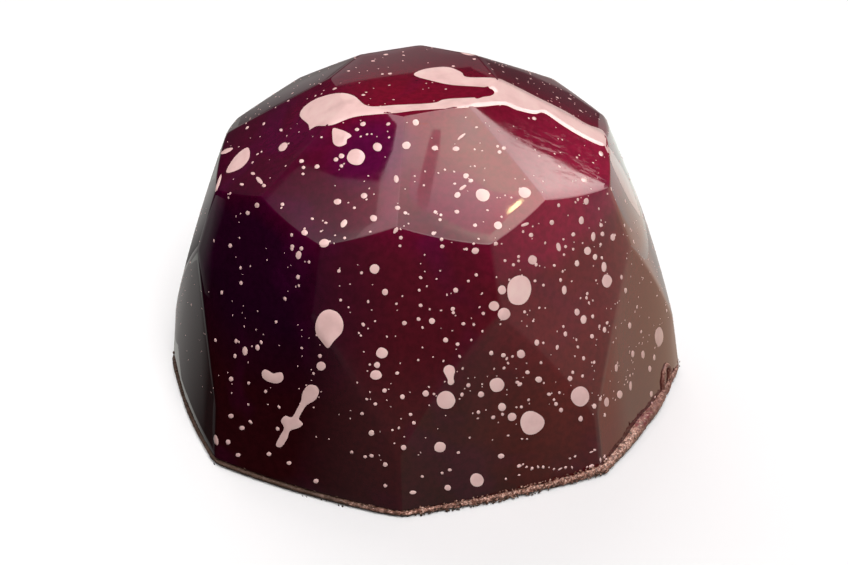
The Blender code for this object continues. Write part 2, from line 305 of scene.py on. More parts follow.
CRUMB_SIZES = (0.03, 0.08)
CRUMB_SEED = 19
CHIP_SEED = 23

# Colours of the shell by height from the foot to the top, at the left, in the middle and at the right

LEFT_COLOURS = (
    (0.0, (0.026, 0.003, 0.004)), (0.30, (0.024, 0.002, 0.004)), (0.52, (0.015, 0.001, 0.009)),
    (0.74, (0.022, 0.001, 0.012)), (0.82, (0.060, 0.0006, 0.014)), (1.0, (0.090, 0.001, 0.020)))
MIDDLE_COLOURS = (
    (0.0, (0.034, 0.003, 0.004)), (0.28, (0.050, 0.005, 0.006)), (0.50, (0.064, 0.003, 0.008)),
    (0.72, (0.082, 0.003, 0.012)), (0.80, (0.120, 0.0012, 0.020)), (1.0, (0.170, 0.0014, 0.016)))
RIGHT_COLOURS = (
    (0.0, (0.055, 0.005, 0.004)), (0.28, (0.110, 0.008, 0.006)), (0.50, (0.140, 0.008, 0.012)),
    (0.655, (0.135, 0.007, 0.012)), (0.70, (0.230, 0.004, 0.030)), (0.80, (0.260, 0.004, 0.034)),
    (1.0, (0.160, 0.0015, 0.018)))
LEFT_FADE = (-1.0, -7.0)
RIGHT_FADE = (1.5, 8.0)
CROWN_FADE = (12.0, 15.0)
# Painted shade: the depths over which the back of the shell darkens
PAINTED_BACK_SHADE_FADE = (-2.0, 3.0)
DRIFT = 3.0
DRIFT_SIZE = 5.0
PURPLE = (0.080, 0.001, 0.040)
PURPLE_PIXEL = (372, 150)
PURPLE_SIZE = 3.6
PATCH_SIZE = 4.5
MOTTLE_SIZE = 0.35
# Painted shade: the dark wine that the back of the shell is darkened towards, and how far
PAINTED_BACK_SHADE = (0.040, 0.003, 0.012)
PAINTED_BACK_SHADE_STRENGTH = 0.65
FILM_SHADE = (0.76, 0.49, 0.46)
FILM_PINK = (0.85, 0.56, 0.53)
FILM_CREAM = (0.88, 0.62, 0.57)
CLOUD_SIZE = 0.9
# The deepest brown: dark pits, the darker left of the band, and painted shade along the band's bottom edge
SCRAPED_DEEP_BROWN_AND_SHADE = (0.045, 0.026, 0.016)
SCRAPED_DARK = (0.09, 0.028, 0.018)
SCRAPED_COPPER = (0.28, 0.125, 0.088)
SCRAPED_PALE = (0.70, 0.45, 0.36)
STAIN_RED = (0.13, 0.008, 0.016)
LIP_BROWN = (0.12, 0.034, 0.026)
LIP_FADE = (11.3, 12.8)
LEFT_FOOT_FADE = (2.0, -4.0)
# Painted shade: the heights over which the foot band darkens towards its bottom
UNDER_SHADE_FADE = (0.22, 0.42)
FLAKE_SIZE = 0.24
FLECK_SIZE = 0.13
GLOSS = 0.022
GLOSS_SIZE = 1.4
COCOA_BUTTER_IOR = 1.47
SCUFF_PIXEL = (562, 160)
SCUFF_SIZE = 4.2
SCUFF_TURN = (0.0, -20.0, 35.0)
SCUFF_STRETCH = (0.35, 5.0, 1.6)
SCUFF_ROUGHNESS = 0.09
SCUFF_DEPTH = 0.0002

# The dim room that the gloss sees: its light below and above, and soft places in it, each with a direction,
# the angles within which it is full and outside which it ends, and the light it adds or takes away

ROOM_LOW = 0.15
ROOM_HIGH = 0.05
ROOM_HORIZON = (-0.04, 0.12)
ROOM_LIGHTS = (
    ((0.98, -0.22, -0.05), 18.0, 55.0, (0.58, 0.50, 0.44)),
    ((0.82, 0.43, -0.38), 12.0, 38.0, (0.75, 0.46, 0.30)),
    ((0.36, 0.85, -0.39), 6.0, 24.0, (0.50, 0.46, 0.42)),
    ((-0.39, 0.84, -0.30), 8.0, 26.0, (0.14, 0.14, 0.12)),
    ((-0.995, 0.03, -0.10), 20.0, 50.0, (-0.25, -0.25, -0.25)),
    ((-0.10, -0.99, 0.07), 15.0, 45.0, (0.10, 0.03, 0.03)),
    ((0.40, -0.85, -0.34), 12.0, 24.0, (0.02, 0.15, 0.09)),
    ((0.66, -0.65, -0.37), 4.0, 16.0, (-0.25, -0.22, -0.18)),
    ((0.87, 0.24, -0.47), 2.0, 10.0, (-0.05, -0.28, -0.22)),
    ((0.0, 0.60, 0.80), 6.0, 12.0, (0.25, 0.22, 0.22)),
    ((0.75, 0.60, 0.15), 8.0, 30.0, (0.25, 0.18, 0.15)))

# Soft places that rounded edges mirror: two facets, the share of the second, two angles and the light

EDGE_LIGHTS = (
    (("crown", 7), ("crown", 0), 0.5, 15.0, 20.0, (4.2, 3.6, 3.6)),
    (("crown", 0), ("crown", 1), 0.5, 16.0, 24.0, (5.5, 5.2, 5.0)),
    (("crown", 0), ("table", 0), 0.4, 10.0, 20.0, (3.0, 2.6, 2.6)),
    (("crown", 0), ("shield", 0), 0.25, 12.0, 20.0, (3.6, 3.3, 3.1)),
    (("crown", 0), ("shield", 1), 0.25, 12.0, 20.0, (3.6, 3.2, 3.0)),
    (("crown", 7), ("shield", 0), 0.25, 10.0, 18.0, (1.6, 1.5, 1.5)),
    (("crown", 1), ("shield", 1), 0.25, 10.0, 18.0, (4.0, 3.6, 3.4)),
    (("crown", 6), ("crown", 7), 0.5, 12.0, 20.0, (0.05, 0.04, 0.04)),
    (("shield", 6), ("lower", 6), 0.5, 6.0, 16.0, (0.25, 0.25, 0.24)))
WINDOW_WHITE = (1.0, 0.96, 0.93)
PALE_GREEN = (0.96, 1.0, 0.94)
LAMP_GOLD = (1.0, 0.80, 0.42)
LAMP_ORANGE = (1.0, 0.45, 0.22)

# Panels that facets mirror: name, facet, distance and colour, then corners as pixels, each with its glow,
# which is a strength of the colour, where the panel has one, or a colour of its own

PANELS = (
    ("rose_wall", ("crown", 0), 150.0, None, (
        (399, 168, (4.0, 2.8, 3.0)), (432, 172, (5.6, 3.8, 3.9)), (463, 172, (7.0, 4.6, 4.8)),
        (489, 190, (7.2, 4.8, 4.8)), (520, 196, (7.2, 4.8, 4.6)), (523, 212, (6.8, 4.0, 3.8)),
        (498, 236, (5.4, 3.1, 3.0)), (470, 232, (5.2, 3.0, 3.2)), (427, 211, (4.4, 3.0, 3.2)),
        (401, 191, (3.8, 2.7, 3.0)))),
    ("window_bar", ("crown", 0), 140.0, None, (
        (433, 129, (3.6, 2.6, 2.6)), (441, 130, (3.4, 2.2, 2.3)), (440, 146, (3.1, 2.0, 2.1)),
        (434, 176, (3.1, 2.0, 2.1)), (428, 206, (3.1, 1.9, 2.0)), (424, 211, (3.6, 2.4, 2.5)),
        (418, 205, (3.1, 1.9, 2.0)), (417, 193, (3.1, 1.9, 2.0)), (423, 165, (3.1, 2.0, 2.1)),
        (429, 141, (3.2, 2.1, 2.2)))),
    ("window_edge", ("crown", 7), 160.0, None, (
        (405, 20, (4.5, 3.2, 3.5)), (401, 108, (4.5, 3.2, 3.5)), (393, 150, (4.3, 3.0, 3.3)),
        (380, 181, (3.4, 2.7, 2.7)), (372, 250, (2.5, 2.2, 2.1)), (372, 420, (2.5, 2.2, 2.1)),
        (620, 420, (3.4, 3.2, 2.9)), (620, 20, (6.0, 4.4, 4.4)))),
    ("ceiling", ("crown", 7), 170.0, WINDOW_WHITE, (
        (60, 152, 0.06), (225, 152, 0.10), (277, 158.5, 0.18), (293, 160, 0.26), (321, 171, 0.44),
        (338, 178, 0.60), (380, 182, 1.2), (378, 420, 2.2), (320, 420, 0.60), (60, 380, 0.08))),
    ("ceiling_left", ("crown", 6), 170.0, WINDOW_WHITE, (
        (60, 148, 0.02), (222, 150, 0.02), (250, 156, 0.06), (300, 160, 0.14), (480, 190, 0.18),
        (480, 400, 0.18), (250, 400, 0.08), (60, 400, 0.02))),
    ("left_rim", ("shield", 6), 150.0, WINDOW_WHITE, (
        (166, 310, 0.50), (182, 245, 0.50), (196, 205, 0.50), (202, 160, 0.50), (226, 160, 0.14),
        (216, 205, 0.12), (205, 245, 0.12), (200, 310, 0.12))),
    ("left_soft", ("shield", 7), 150.0, WINDOW_WHITE, (
        (150, 180, 0.5), (214, 180, 0.42), (230, 184, 0.0), (224, 215, 0.0), (214, 247, 0.0),
        (210, 300, 0.0), (196, 300, 0.2), (150, 300, 0.5))),
    ("right_rim", ("shield", 2), 150.0, PALE_GREEN, (
        (586, 90, 1.0), (612, 110, 1.05), (640, 170, 1.05), (654, 225, (1.06, 0.86, 0.72)),
        (640, 238, (1.07, 0.84, 0.70)), (624, 222, (1.04, 0.88, 0.76)), (613, 205, 1.0), (604, 189, 1.15),
        (596, 150, 1.1))),
    ("skylight", ("crown", 1), 160.0, None, (
        (270, 60, (6.2, 5.2, 5.0)), (440, 80, (6.2, 5.2, 5.0)), (487, 117, (6.3, 5.1, 4.9)),
        (516, 139, (6.4, 5.3, 5.1)), (547, 155, (7.2, 6.3, 5.9)), (575, 171, (8.0, 7.2, 6.7)),
        (640, 200, (6.0, 4.6, 4.6)), (640, 330, (4.6, 3.4, 3.4)), (545, 330, (5.6, 5.2, 4.9)),
        (300, 330, (5.6, 5.2, 4.9)))),
    ("far_wall", ("table", 0), 200.0, WINDOW_WHITE, (
        (300, 98, 0.5), (354, 82, 0.45), (396, 75, 0.4), (419, 72, 0.4), (470, 67, 0.35), (530, 80, 0.25),
        (540, 20, 0.5), (400, 10, 1.0), (300, 40, 0.9))),
    ("left_shade", ("lower", 6), 150.0, WINDOW_WHITE, (
        (174, 250, 0.55), (200, 250, 0.30), (206, 296, 0.05), (212, 345, 0.03), (222, 460, 0.02),
        (204, 440, 0.02), (184, 395, 0.03), (178, 345, 0.26), (170, 310, 0.55))),
    ("dusk_left", ("crown", 5), 220.0, WINDOW_WHITE, (
        (236, 119, 0.20), (256, 106, 0.26), (304, 80, 0.30), (352, 60, 0.30), (362, 64, 0.12),
        (330, 92, 0.02), (280, 122, 0.02), (240, 132, 0.05))),
    ("dusk_right", ("crown", 2), 220.0, WINDOW_WHITE, (
        (478, 58, 0.10), (520, 70, 0.08), (568, 92, 0.08), (603, 114, 0.10), (604, 132, 0.03),
        (540, 112, 0.03), (478, 100, 0.03))),
    ("orange_lamp", ("crown", 0), 120.0, LAMP_ORANGE, (
        (410, 112, 7.0), (424, 113, 9.0), (427, 116, 7.0), (412, 115, 7.0))),
    ("small_lamp", ("crown", 0), 120.0, LAMP_GOLD, (
        (507, 215, 25.0), (509, 209, 45.0), (518, 201, 60.0), (524, 199, 40.0), (519, 207, 60.0),
        (512, 213, 45.0))))

# The window that the front crown facet mirrors, as rows of corners from above to below

WINDOW_DISTANCE = 165.0
WINDOW_ROWS = (
    ((180, -20, (4.4, 3.2, 3.4)), (420, -20, (5.6, 4.2, 4.2)), (480, -20, (7.4, 6.0, 5.4)),
     (760, -20, (7.6, 6.4, 5.8))),
    ((180, 150, (4.2, 3.0, 3.2)), (420, 150, (5.4, 4.2, 4.0)), (470, 145, (7.4, 6.2, 5.2)),
     (760, 150, (7.6, 6.6, 5.8))),
    ((180, 214, (2.4, 2.5, 2.2)), (425, 214, (2.6, 2.6, 2.3)), (500, 190, (7.4, 6.2, 5.2)),
     (760, 200, (7.6, 6.6, 5.8))),
    ((180, 400, (2.0, 2.1, 1.8)), (430, 400, (2.4, 2.3, 2.1)), (520, 400, (4.6, 4.2, 3.8)),
     (760, 400, (7.0, 6.0, 5.4))))

# Lamps that light surfaces: name, direction, strength, spread in degrees and colour

LAMPS = (
    ("key_lamp", (0.12, -0.58, 0.80), 3.2, 35.0, (1.0, 0.98, 0.985)),
    ("fill_lamp", (-0.10, 0.20, 0.97), 0.5, 90.0, (1.0, 0.98, 0.97)),
    ("back_lamp", (-0.25, 0.82, 0.50), 1.2, 60.0, (1.0, 0.98, 0.97)))
FLOOR_SIZE = 6.0
FLOOR_TONES = (0.90, 0.93)
FLOOR_PATCH = 40.0
FLOOR_ROUGHNESS = 0.8
BACKDROP_RADIUS = 2.9
BACKDROP_GLOW = 0.85


# Camera

def turned(first, second, degrees):
    """Two directions, square to each other, turned in the plane that they span."""
    angle = math.radians(degrees)
    return (first * math.cos(angle) - second * math.sin(angle),
            first * math.sin(angle) + second * math.cos(angle))


def camera_axes():
    """The camera's place and its right, up and forward directions, in millimetres."""
    elevation = math.radians(CAMERA_ELEVATION)
    back = Vector((0.0, -math.cos(elevation), math.sin(elevation)))
    place = Vector(CAMERA_TARGET) + back * CAMERA_DISTANCE
    right = Vector((1.0, 0.0, 0.0))
    up = back.cross(right)
    right, up = turned(right, up, CAMERA_ROLL)
    right, ahead = turned(right, -back, CAMERA_PAN)
    up, ahead = turned(up, ahead, CAMERA_TILT)
    return place, right, up, ahead


def make_camera():
    place, right, up, ahead = camera_axes()
    data = bpy.data.cameras.new("camera")
    data.lens = CAMERA_LENS
    data.sensor_width = SENSOR_WIDTH
    data.sensor_fit = "HORIZONTAL"
    data.clip_start = CLIP_START * MM
    data.clip_end = CLIP_END * MM
    camera = bpy.data.objects.new("camera", data)
    bpy.context.collection.objects.link(camera)
    turn = Matrix((right, up, -ahead)).transposed().to_4x4()
    camera.matrix_world = Matrix.Translation(place * MM) @ turn
    bpy.context.scene.camera = camera


def pixel_ray(x, y):
    """The camera's place and the direction in which it sees a pixel."""
    place, right, up, ahead = camera_axes()
    focal = CAMERA_LENS / SENSOR_WIDTH * PHOTO_WIDTH
    direction = ahead + right * ((x - PHOTO_WIDTH / 2) / focal) - up * ((y - PHOTO_HEIGHT / 2) / focal)
    return place, direction.normalized()


# Gem facets

def outward(turn):
    """The level direction that a side at this turn faces, counted from the front, rightward."""
    angle = math.radians(turn)
    return np.array([math.sin(angle), -math.cos(angle), 0.0])


def facet(turn, radius, height, lean, bulge_across, bulge_up):
    """A facet through the point at radius and height, bulging with the two given radii."""
    out = outward(turn)
    up = np.array([0.0, 0.0, 1.0])
    tilt = math.radians(lean)
    return {
        "point": out * radius + up * height,
        "normal": out * math.cos(tilt) + up * math.sin(tilt),
        "across": np.cross(up, out),
        "along": up * math.cos(tilt) - out * math.sin(tilt),
        "bulge_across": bulge_across,
        "bulge_along": bulge_up,
    }


def height_over(face, place):
    """How far a place lies outside a facet's surface, and the direction in which that grows."""
    offset = place - face["point"]
    side = offset @ face["across"]
    rise = offset @ face["along"]
    value = offset @ face["normal"]
    value += side * side / (2.0 * face["bulge_across"])
    value += rise * rise / (2.0 * face["bulge_along"])
    growth = face["normal"] + face["across"] * side / face["bulge_across"]
    growth = growth + face["along"] * rise / face["bulge_along"]
    return value, growth


def meet(faces, place):
    """Moves a place by the shortest way onto all the given facets at once."""
    place = np.array(place, float)
    for _ in range(MEET_STEPS):
        found = [height_over(face, place) for face in faces]
        values = np.array([value for value, _ in found])
        growths = np.array([growth for _, growth in found])
        place = place - growths.T @ np.linalg.solve(growths @ growths.T, values)
    return place


def lower_facet(side):
    """The facet between the foot and the walls at one of the eight sides."""
    turn = START_TURN + (side + 0.5) * STEP
    return facet(turn, FOOT_RADIUS, 0.0, LOWER_LEAN, LOWER_BULGE, LOWER_BULGE_UP)


def gem_facets():
    """The facets by name, each with its corners in order round its edge."""
    gem = {}
    for side in range(SIDES):
        turn = START_TURN + side * STEP
        before = (side - 1) % SIDES
        after = (side + 1) % SIDES
        shield = facet(turn + SHIELD_TURN, SHIELD_RADIUS, SHIELD_HEIGHT, SHIELD_LEAN,
                       SHIELD_BULGE_ACROSS, SHIELD_BULGE_UP)
        crown = facet(turn + STEP / 2, CROWN_RADIUS, CROWN_HEIGHT, CROWN_LEAN, CROWN_BULGE, CROWN_BULGE)
        gem["shield", side] = (shield, [
            ("wall_tip", side), ("wall_side", side), ("shoulder_side", side),
            ("shoulder_top", side), ("shoulder_side", before), ("wall_side", before)])
        gem["lower", side] = (lower_facet(side), [
            ("foot", side), ("foot", after), ("wall_tip", after), ("wall_side", side), ("wall_tip", side)])
        gem["crown", side] = (crown, [
            ("shoulder_top", side), ("shoulder_side", side), ("shoulder_top", after),
            ("table", after), ("table", side)])
    table = facet(0.0, 0.0, TOP_HEIGHT, 90.0, TABLE_BULGE, TABLE_BULGE)
    gem["table", 0] = (table, [("table", side) for side in range(SIDES)])
    flat = facet(0.0, 0.0, SHELL_FOOT, -90.0, math.inf, math.inf)
    gem["foot", 0] = (flat, [("foot", side) for side in reversed(range(SIDES))])
    return gem


def corner_places(gem):
    """Each corner lies where all the facets that name it meet."""
    touching = {}
    for face, corners in gem.values():
        for corner in corners:
            touching.setdefault(corner, []).append(face)
    places = {}
    for (ring, side), faces in touching.items():
        radius, height, half = CORNER_GUESS[ring]
        guess = outward(START_TURN + (side + half) * STEP) * radius + np.array([0.0, 0.0, height])
        places[ring, side] = meet(faces, guess)
    return places


def eased(number, half_steps):
    """The share of a half edge at a step: the steps beside corners and edges are the widest."""
    return (number / half_steps) ** EDGE_EASE


def edge_places(gem, corners, half_steps):
    """Points along each edge, on both of its facets, listed from either end."""
    sharing = {}
    for face, ring in gem.values():
        for first, last in zip(ring, ring[1:] + ring[:1]):
            sharing.setdefault(frozenset((first, last)), []).append(face)
    edges = {}
    steps = 2 * half_steps
    for pair, faces in sharing.items():
        first, last = sorted(pair)
        line = []
        for number in range(steps + 1):
            share = 0.5 * eased(min(number, steps - number), half_steps)
            if number > half_steps:
                share = 1.0 - share
            line.append(meet(faces, corners[first] * (1 - share) + corners[last] * share))
        edges[first, last] = line
        edges[last, first] = line[::-1]
    return edges


def patch(face, ahead, behind, middle, half_steps):
    """A square grid of points on a facet, from a corner to the facet's middle."""
    corner, ahead_end, behind_end = ahead[0], ahead[-1], behind[-1]
    grid = []
    for row in range(half_steps + 1):
        v = eased(row, half_steps)
        line = []
        for column in range(half_steps + 1):
            u = eased(column, half_steps)
            far_side = behind_end * (1 - u) + middle * u
            lengthwise = (1 - v) * ahead[column] + v * far_side
            crosswise = (1 - u) * behind[row] + u * (ahead_end * (1 - v) + middle * v)
            flat = (1 - v) * (corner * (1 - u) + ahead_end * u) + v * far_side
            place = lengthwise + crosswise - flat
            on_edge = row == 0 or column == 0
            line.append(place if on_edge else meet([face], place))
        grid.append(line)
    return grid


def add_facet(mesh, layer, number, face, ring, edges, half_steps):
    """Fills one facet with patches, one for each of its corners, that share its middle."""
    halfway = [edges[first, last][half_steps] for first, last in zip(ring, ring[1:] + ring[:1])]
    middle = meet([face], np.mean(halfway, axis=0))
    count = len(ring)
    for index, corner in enumerate(ring):
        ahead = edges[corner, ring[(index + 1) % count]][:half_steps + 1]
        behind = edges[corner, ring[index - 1]][:half_steps + 1]
        grid = patch(face, ahead, behind, middle, half_steps)
        made = [[mesh.verts.new(Vector(place) * MM) for place in line] for line in grid]
        for row in range(half_steps):
            for column in range(half_steps):
                quad = mesh.faces.new((
                    made[row][column], made[row][column + 1],
                    made[row + 1][column + 1], made[row + 1][column]))
                quad[layer] = number


def gem_bmesh():
    """The whole gem, with each edge between facets marked with its share of the rounding."""
    gem = gem_facets()
    corners = corner_places(gem)
    edges = edge_places(gem, corners, HALF_EDGE_STEPS)
    mesh = bmesh.new()
    layer = mesh.faces.layers.int.new("facet")
    for number, (face, ring) in enumerate(gem.values()):
        add_facet(mesh, layer, number, face, ring, edges, HALF_EDGE_STEPS)
    bmesh.ops.remove_doubles(mesh, verts=mesh.verts, dist=WELD_DISTANCE * MM)
    mesh.normal_update()
    kinds = [kind for kind, _ in gem]
    weights = mesh.edges.layers.float.new("bevel_weight_edge")
    for edge in mesh.edges:
        first, last = (kinds[face[layer]] for face in edge.link_faces)
        if len({face[layer] for face in edge.link_faces}) > 1:
            share = EDGE_SHARES[tuple(sorted((first, last)))]
            side = 0.0 if "foot" in (first, last) else turned_away(edge)
            edge[weights] = share + (SIDE_SHARE - share) * side
    return mesh


def turned_away(edge):
    """How far an edge faces sideways or backward from the camera, where it looks rounder: 0 to 1."""
    _, _, _, ahead = camera_axes()
    facing = min(vertex.normal @ -ahead for vertex in edge.verts)
    most, least = SIDE_FACING
    share = min(1.0, max(0.0, (most - facing) / (most - least)))
    return share * share * (3.0 - 2.0 * share)


# Mesh helpers

def link_mesh(name, mesh, material, smooth_angle):
    """Makes a piece of a finished mesh, smooth but for edges sharper than the angle in degrees."""
    data = bpy.data.meshes.new(name)
    mesh.to_mesh(data)
    mesh.free()
    data.shade_smooth()
    data.set_sharp_from_angle(angle=math.radians(smooth_angle))
    data.materials.append(material)
    made = bpy.data.objects.new(name, data)
    bpy.context.collection.objects.link(made)
    return made


def ripple(place, size, seed):
    """Smooth unevenness between about -1 and 1 that repeats nowhere on the gem."""
    return noise.noise(Vector(place) / size + Vector((seed, seed * 0.7, -seed)))


def round_and_settle(piece):
    """Rounds the marked edges, and lets the broad facets rule the shading beside them."""
    rounding = piece.modifiers.new("rounding", "BEVEL")
    rounding.limit_method = "WEIGHT"
    rounding.width = EDGE_ROUND * MM
    rounding.segments = EDGE_SEGMENTS
    weigh = piece.modifiers.new("facets_first", "WEIGHTED_NORMAL")
    weigh.weight = FACET_WEIGHT
    bpy.context.view_layer.update()
    shown = piece.evaluated_get(bpy.context.evaluated_depsgraph_get())
    data = bpy.data.meshes.new_from_object(shown)
    piece.modifiers.clear()
    old = piece.data
    piece.data = data
    bpy.data.meshes.remove(old)


def make_shell(material):
    """The gem's fine surface, with the faint waves that a mould leaves in it."""
    mesh = gem_bmesh()
    mesh.normal_update()
    for vertex in mesh.verts:
        depth = (0.5 + 0.5 * ripple(vertex.co / MM, WAVE_SIZE, WAVE_SEED)) * WAVE_HEIGHT * MM
        vertex.co -= vertex.normal * depth
    shell = link_mesh("shell_surface", mesh, material, GEM_SMOOTH_ANGLE)
    round_and_settle(shell)
    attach(shell, "root")
    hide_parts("shell")
    return shell


# Films of pink cocoa butter

def surface_of(piece):
    """A search tree over a piece's mesh, in metres."""
    data = piece.data
    return BVHTree.FromPolygons([vertex.co for vertex in data.vertices],
                                [polygon.vertices for polygon in data.polygons])


def seen_place(surface, x, y):
    """The point of the surface that the camera sees at a pixel, with its normal, or None."""
    start, direction = pixel_ray(x, y)
    place, normal, _, _ = surface.ray_cast(start * MM, direction)
    return None if place is None else (place, normal)


def nearest_place(surface, point):
    """The point of the surface nearest to a point, with its normal."""
    place, normal, _, _ = surface.find_nearest(point)
    return place, normal


def add_film(mesh, places, lifts, faces, rim):
    """Adds a closed film: a lifted upper skin, a sunk lower skin and a wall along the rim."""
    upper = [mesh.verts.new(place + normal * (lift * MM)) for (place, normal), lift in zip(places, lifts)]
    lower = [mesh.verts.new(place - normal * (FILM_DEPTH * MM)) for place, normal in places]
    for corners in faces:
        mesh.faces.new([upper[index] for index in corners])
        mesh.faces.new([lower[index] for index in reversed(corners)])
    for first, last in zip(rim, rim[1:] + rim[:1]):
        mesh.faces.new((lower[first], lower[last], upper[last], upper[first]))


def ring_pattern(segments, shares):
    """Flat points in rings round a centre, the faces between them, and the outermost ring."""
    points = [(0.0, 0.0)]
    for share in shares:
        for number in range(segments):
            angle = 2 * math.pi * number / segments
            points.append((share * math.cos(angle), share * math.sin(angle)))
    faces = []
    for number in range(segments):
        after = (number + 1) % segments
        faces.append((0, 1 + number, 1 + after))
        for ring in range(len(shares) - 1):
            inner = 1 + ring * segments
            outer = inner + segments
            faces.append((inner + number, outer + number, outer + after, inner + after))
    rim_start = 1 + (len(shares) - 1) * segments
    return points, faces, list(range(rim_start, rim_start + segments))


def mesh_rings(table, size):
    """The segments and rings that a table of spot meshes gives for a size."""
    return next((segments, shares) for limit, segments, shares in table if size < limit)


def ring_lifts(segments, shares):
    """Full lift in the middle that falls to almost nothing at the rim."""
    lifts = [FILM_LIFT]
    for share in shares:
        lifts += [max(FILM_LIFT * (1.0 - share ** 4), FILM_RIM_LIFT)] * segments
    return lifts


def add_seen_spot(mesh, surface, spot, seed):
    """Adds the spot that the photograph shows at a pixel: x, y, half width, half height and tilt."""
    x, y, half_width, half_height, tilt = spot
    segments, shares = mesh_rings(SEEN_RINGS, max(half_width, half_height))
    points, faces, rim = ring_pattern(segments, shares)
    turn = math.radians(tilt)
    places = []
    for across, down in points:
        angle = math.atan2(down, across)
        uneven = 1.0 + SPOT_UNEVEN * noise.noise(Vector((math.cos(angle), math.sin(angle), seed * 3.7)))
        across, down = across * half_width * uneven, down * half_height * uneven
        place = seen_place(surface, x + across * math.cos(turn) - down * math.sin(turn),
                           y + across * math.sin(turn) + down * math.cos(turn))
        if place is None:
            return
        places.append(place)
    faces = [tuple(reversed(corners)) for corners in faces]
    add_film(mesh, places, ring_lifts(segments, shares), faces, rim[::-1])


def add_placed_spot(mesh, surface, point, normal, radius, stretch, angle, seed):
    """Adds a spot in millimetres round a point of the surface."""
    segments, shares = mesh_rings(PLACED_RINGS, radius)
    points, faces, rim = ring_pattern(segments, shares)
    first = normal.orthogonal().normalized()
    first.rotate(Matrix.Rotation(angle, 3, normal))
    second = normal.cross(first)
    places = []
    for across, along in points:
        turn = math.atan2(along, across)
        uneven = 1.0 + SPOT_UNEVEN * noise.noise(Vector((math.cos(turn), math.sin(turn), seed)))
        offset = first * (across * radius * stretch) + second * (along * radius / stretch)
        places.append(nearest_place(surface, point + offset * (uneven * MM)))
    add_film(mesh, places, ring_lifts(segments, shares), faces, rim)


def smooth_ring(points, steps):
    """A smooth closed curve through the given points."""
    count = len(points)
    ring = []
    for index in range(count):
        before, start, end, after = (Vector(points[(index + shift) % count]) for shift in (-1, 0, 1, 2))
        for step in range(steps):
            t = step / steps
            ring.append(0.5 * (2 * start + (end - before) * t
                               + (2 * before - 5 * start + 4 * end - after) * t * t
                               + (3 * start - before - 3 * end + after) * t * t * t))
    return ring


def add_seen_outline(mesh, surface, outline):
    """Adds a film inside an outline given as pixels of the photograph."""
    spacing = OUTLINE_SPACING
    ring = smooth_ring(outline, OUTLINE_STEPS)
    lows = [min(point[axis] for point in ring) for axis in (0, 1)]
    highs = [max(point[axis] for point in ring) for axis in (0, 1)]
    inner = []
    rows = int((highs[1] - lows[1]) / spacing)
    columns = int((highs[0] - lows[0]) / spacing)
    for row in range(rows + 1):
        for column in range(columns + 1):
            point = Vector((lows[0] + (column + 0.5 * (row % 2)) * spacing, lows[1] + row * spacing))
            if inside(ring, point) and ring_distance(ring, point) > 0.6 * spacing:
                inner.append(point)
    count = len(ring)
    points, _, faces, _, _, _ = delaunay_2d_cdt(ring + inner, [], [list(range(count))], 1, 1e-6)
    places = [seen_place(surface, *point) for point in points]
    if None in places:
        raise ValueError("an outline leaves the gem")
    lifts = [FILM_RIM_LIFT if number < count
             else FILM_LIFT * min(1.0, ring_distance(ring, point) / FILM_EDGE_PIXELS) + FILM_RIM_LIFT
             for number, point in enumerate(points)]
    first, second, third = (places[index][0] for index in faces[0][:3])
    towards = (second - first).cross(third - first).dot(places[faces[0][0]][1]) > 0
    if not towards:
        faces = [tuple(reversed(corners)) for corners in faces]
    rim = rim_of(faces)
    add_film(mesh, places, lifts, faces, rim)


def rim_of(faces):
    """The one loop of edges that only one face uses, in the faces' own direction."""
    following = {}
    for corners in faces:
        for first, last in zip(corners, list(corners[1:]) + [corners[0]]):
            following[first, last] = True
    border = {first: last for first, last in following if (last, first) not in following}
    start = next(iter(border))
    rim = [start]
    while border[rim[-1]] != start:
        rim.append(border[rim[-1]])
    return rim


def inside(ring, point):
    """Whether a flat point lies inside a closed line of flat points."""
    crossed = False
    for first, last in zip(ring, ring[1:] + ring[:1]):
        if (first[1] > point[1]) != (last[1] > point[1]):
            share = (point[1] - first[1]) / (last[1] - first[1])
            if point[0] < first[0] + share * (last[0] - first[0]):
                crossed = not crossed
    return crossed


def ring_distance(ring, point):
    """How far a flat point lies from a closed line of flat points."""
    nearest = math.inf
    for first, last in zip(ring, ring[1:] + ring[:1]):
        along = last - first
        share = max(0.0, min(1.0, (point - first).dot(along) / max(along.dot(along), 1e-9)))
        nearest = min(nearest, (point - first - along * share).length)
    return nearest


def finish_film(name, mesh, material):
    """Makes a piece of one kind of film."""
    piece = link_mesh(name, mesh, material, FILM_SMOOTH_ANGLE)
    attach(piece, "root")
    return piece


def far_from_camera(point, normal):
    """Whether a point of the gem faces away from the camera."""
    place, _, _, _ = camera_axes()
    return normal.dot(place - point / MM) < 0.0


def random_place(surface, draw):
    """A point of the gem chosen evenly by direction, and its normal."""
    turn = draw.uniform(0.0, 2 * math.pi)
    rise = draw.uniform(-0.05, 1.0)
    level = math.sqrt(max(0.0, 1.0 - rise * rise))
    direction = Vector((math.cos(turn) * level, math.sin(turn) * level, rise))
    place, normal, _, _ = surface.ray_cast(Vector(GEM_MIDDLE) * MM, direction)
    return place, normal


def random_size(draw, sizes):
    """A random radius: most are near the smallest, and few are several times larger."""
    smallest, rarest, power = sizes
    return smallest * draw.uniform(rarest, 1.0) ** -power


def make_drizzle(surface, material):
    """The drizzle over the crown, and the splashes with an outline of their own."""
    mesh = bmesh.new()
    for outline in DRIZZLES + SPLASHES:
        add_seen_outline(mesh, surface, outline)
    finish_film("pink_drizzle", mesh, material)


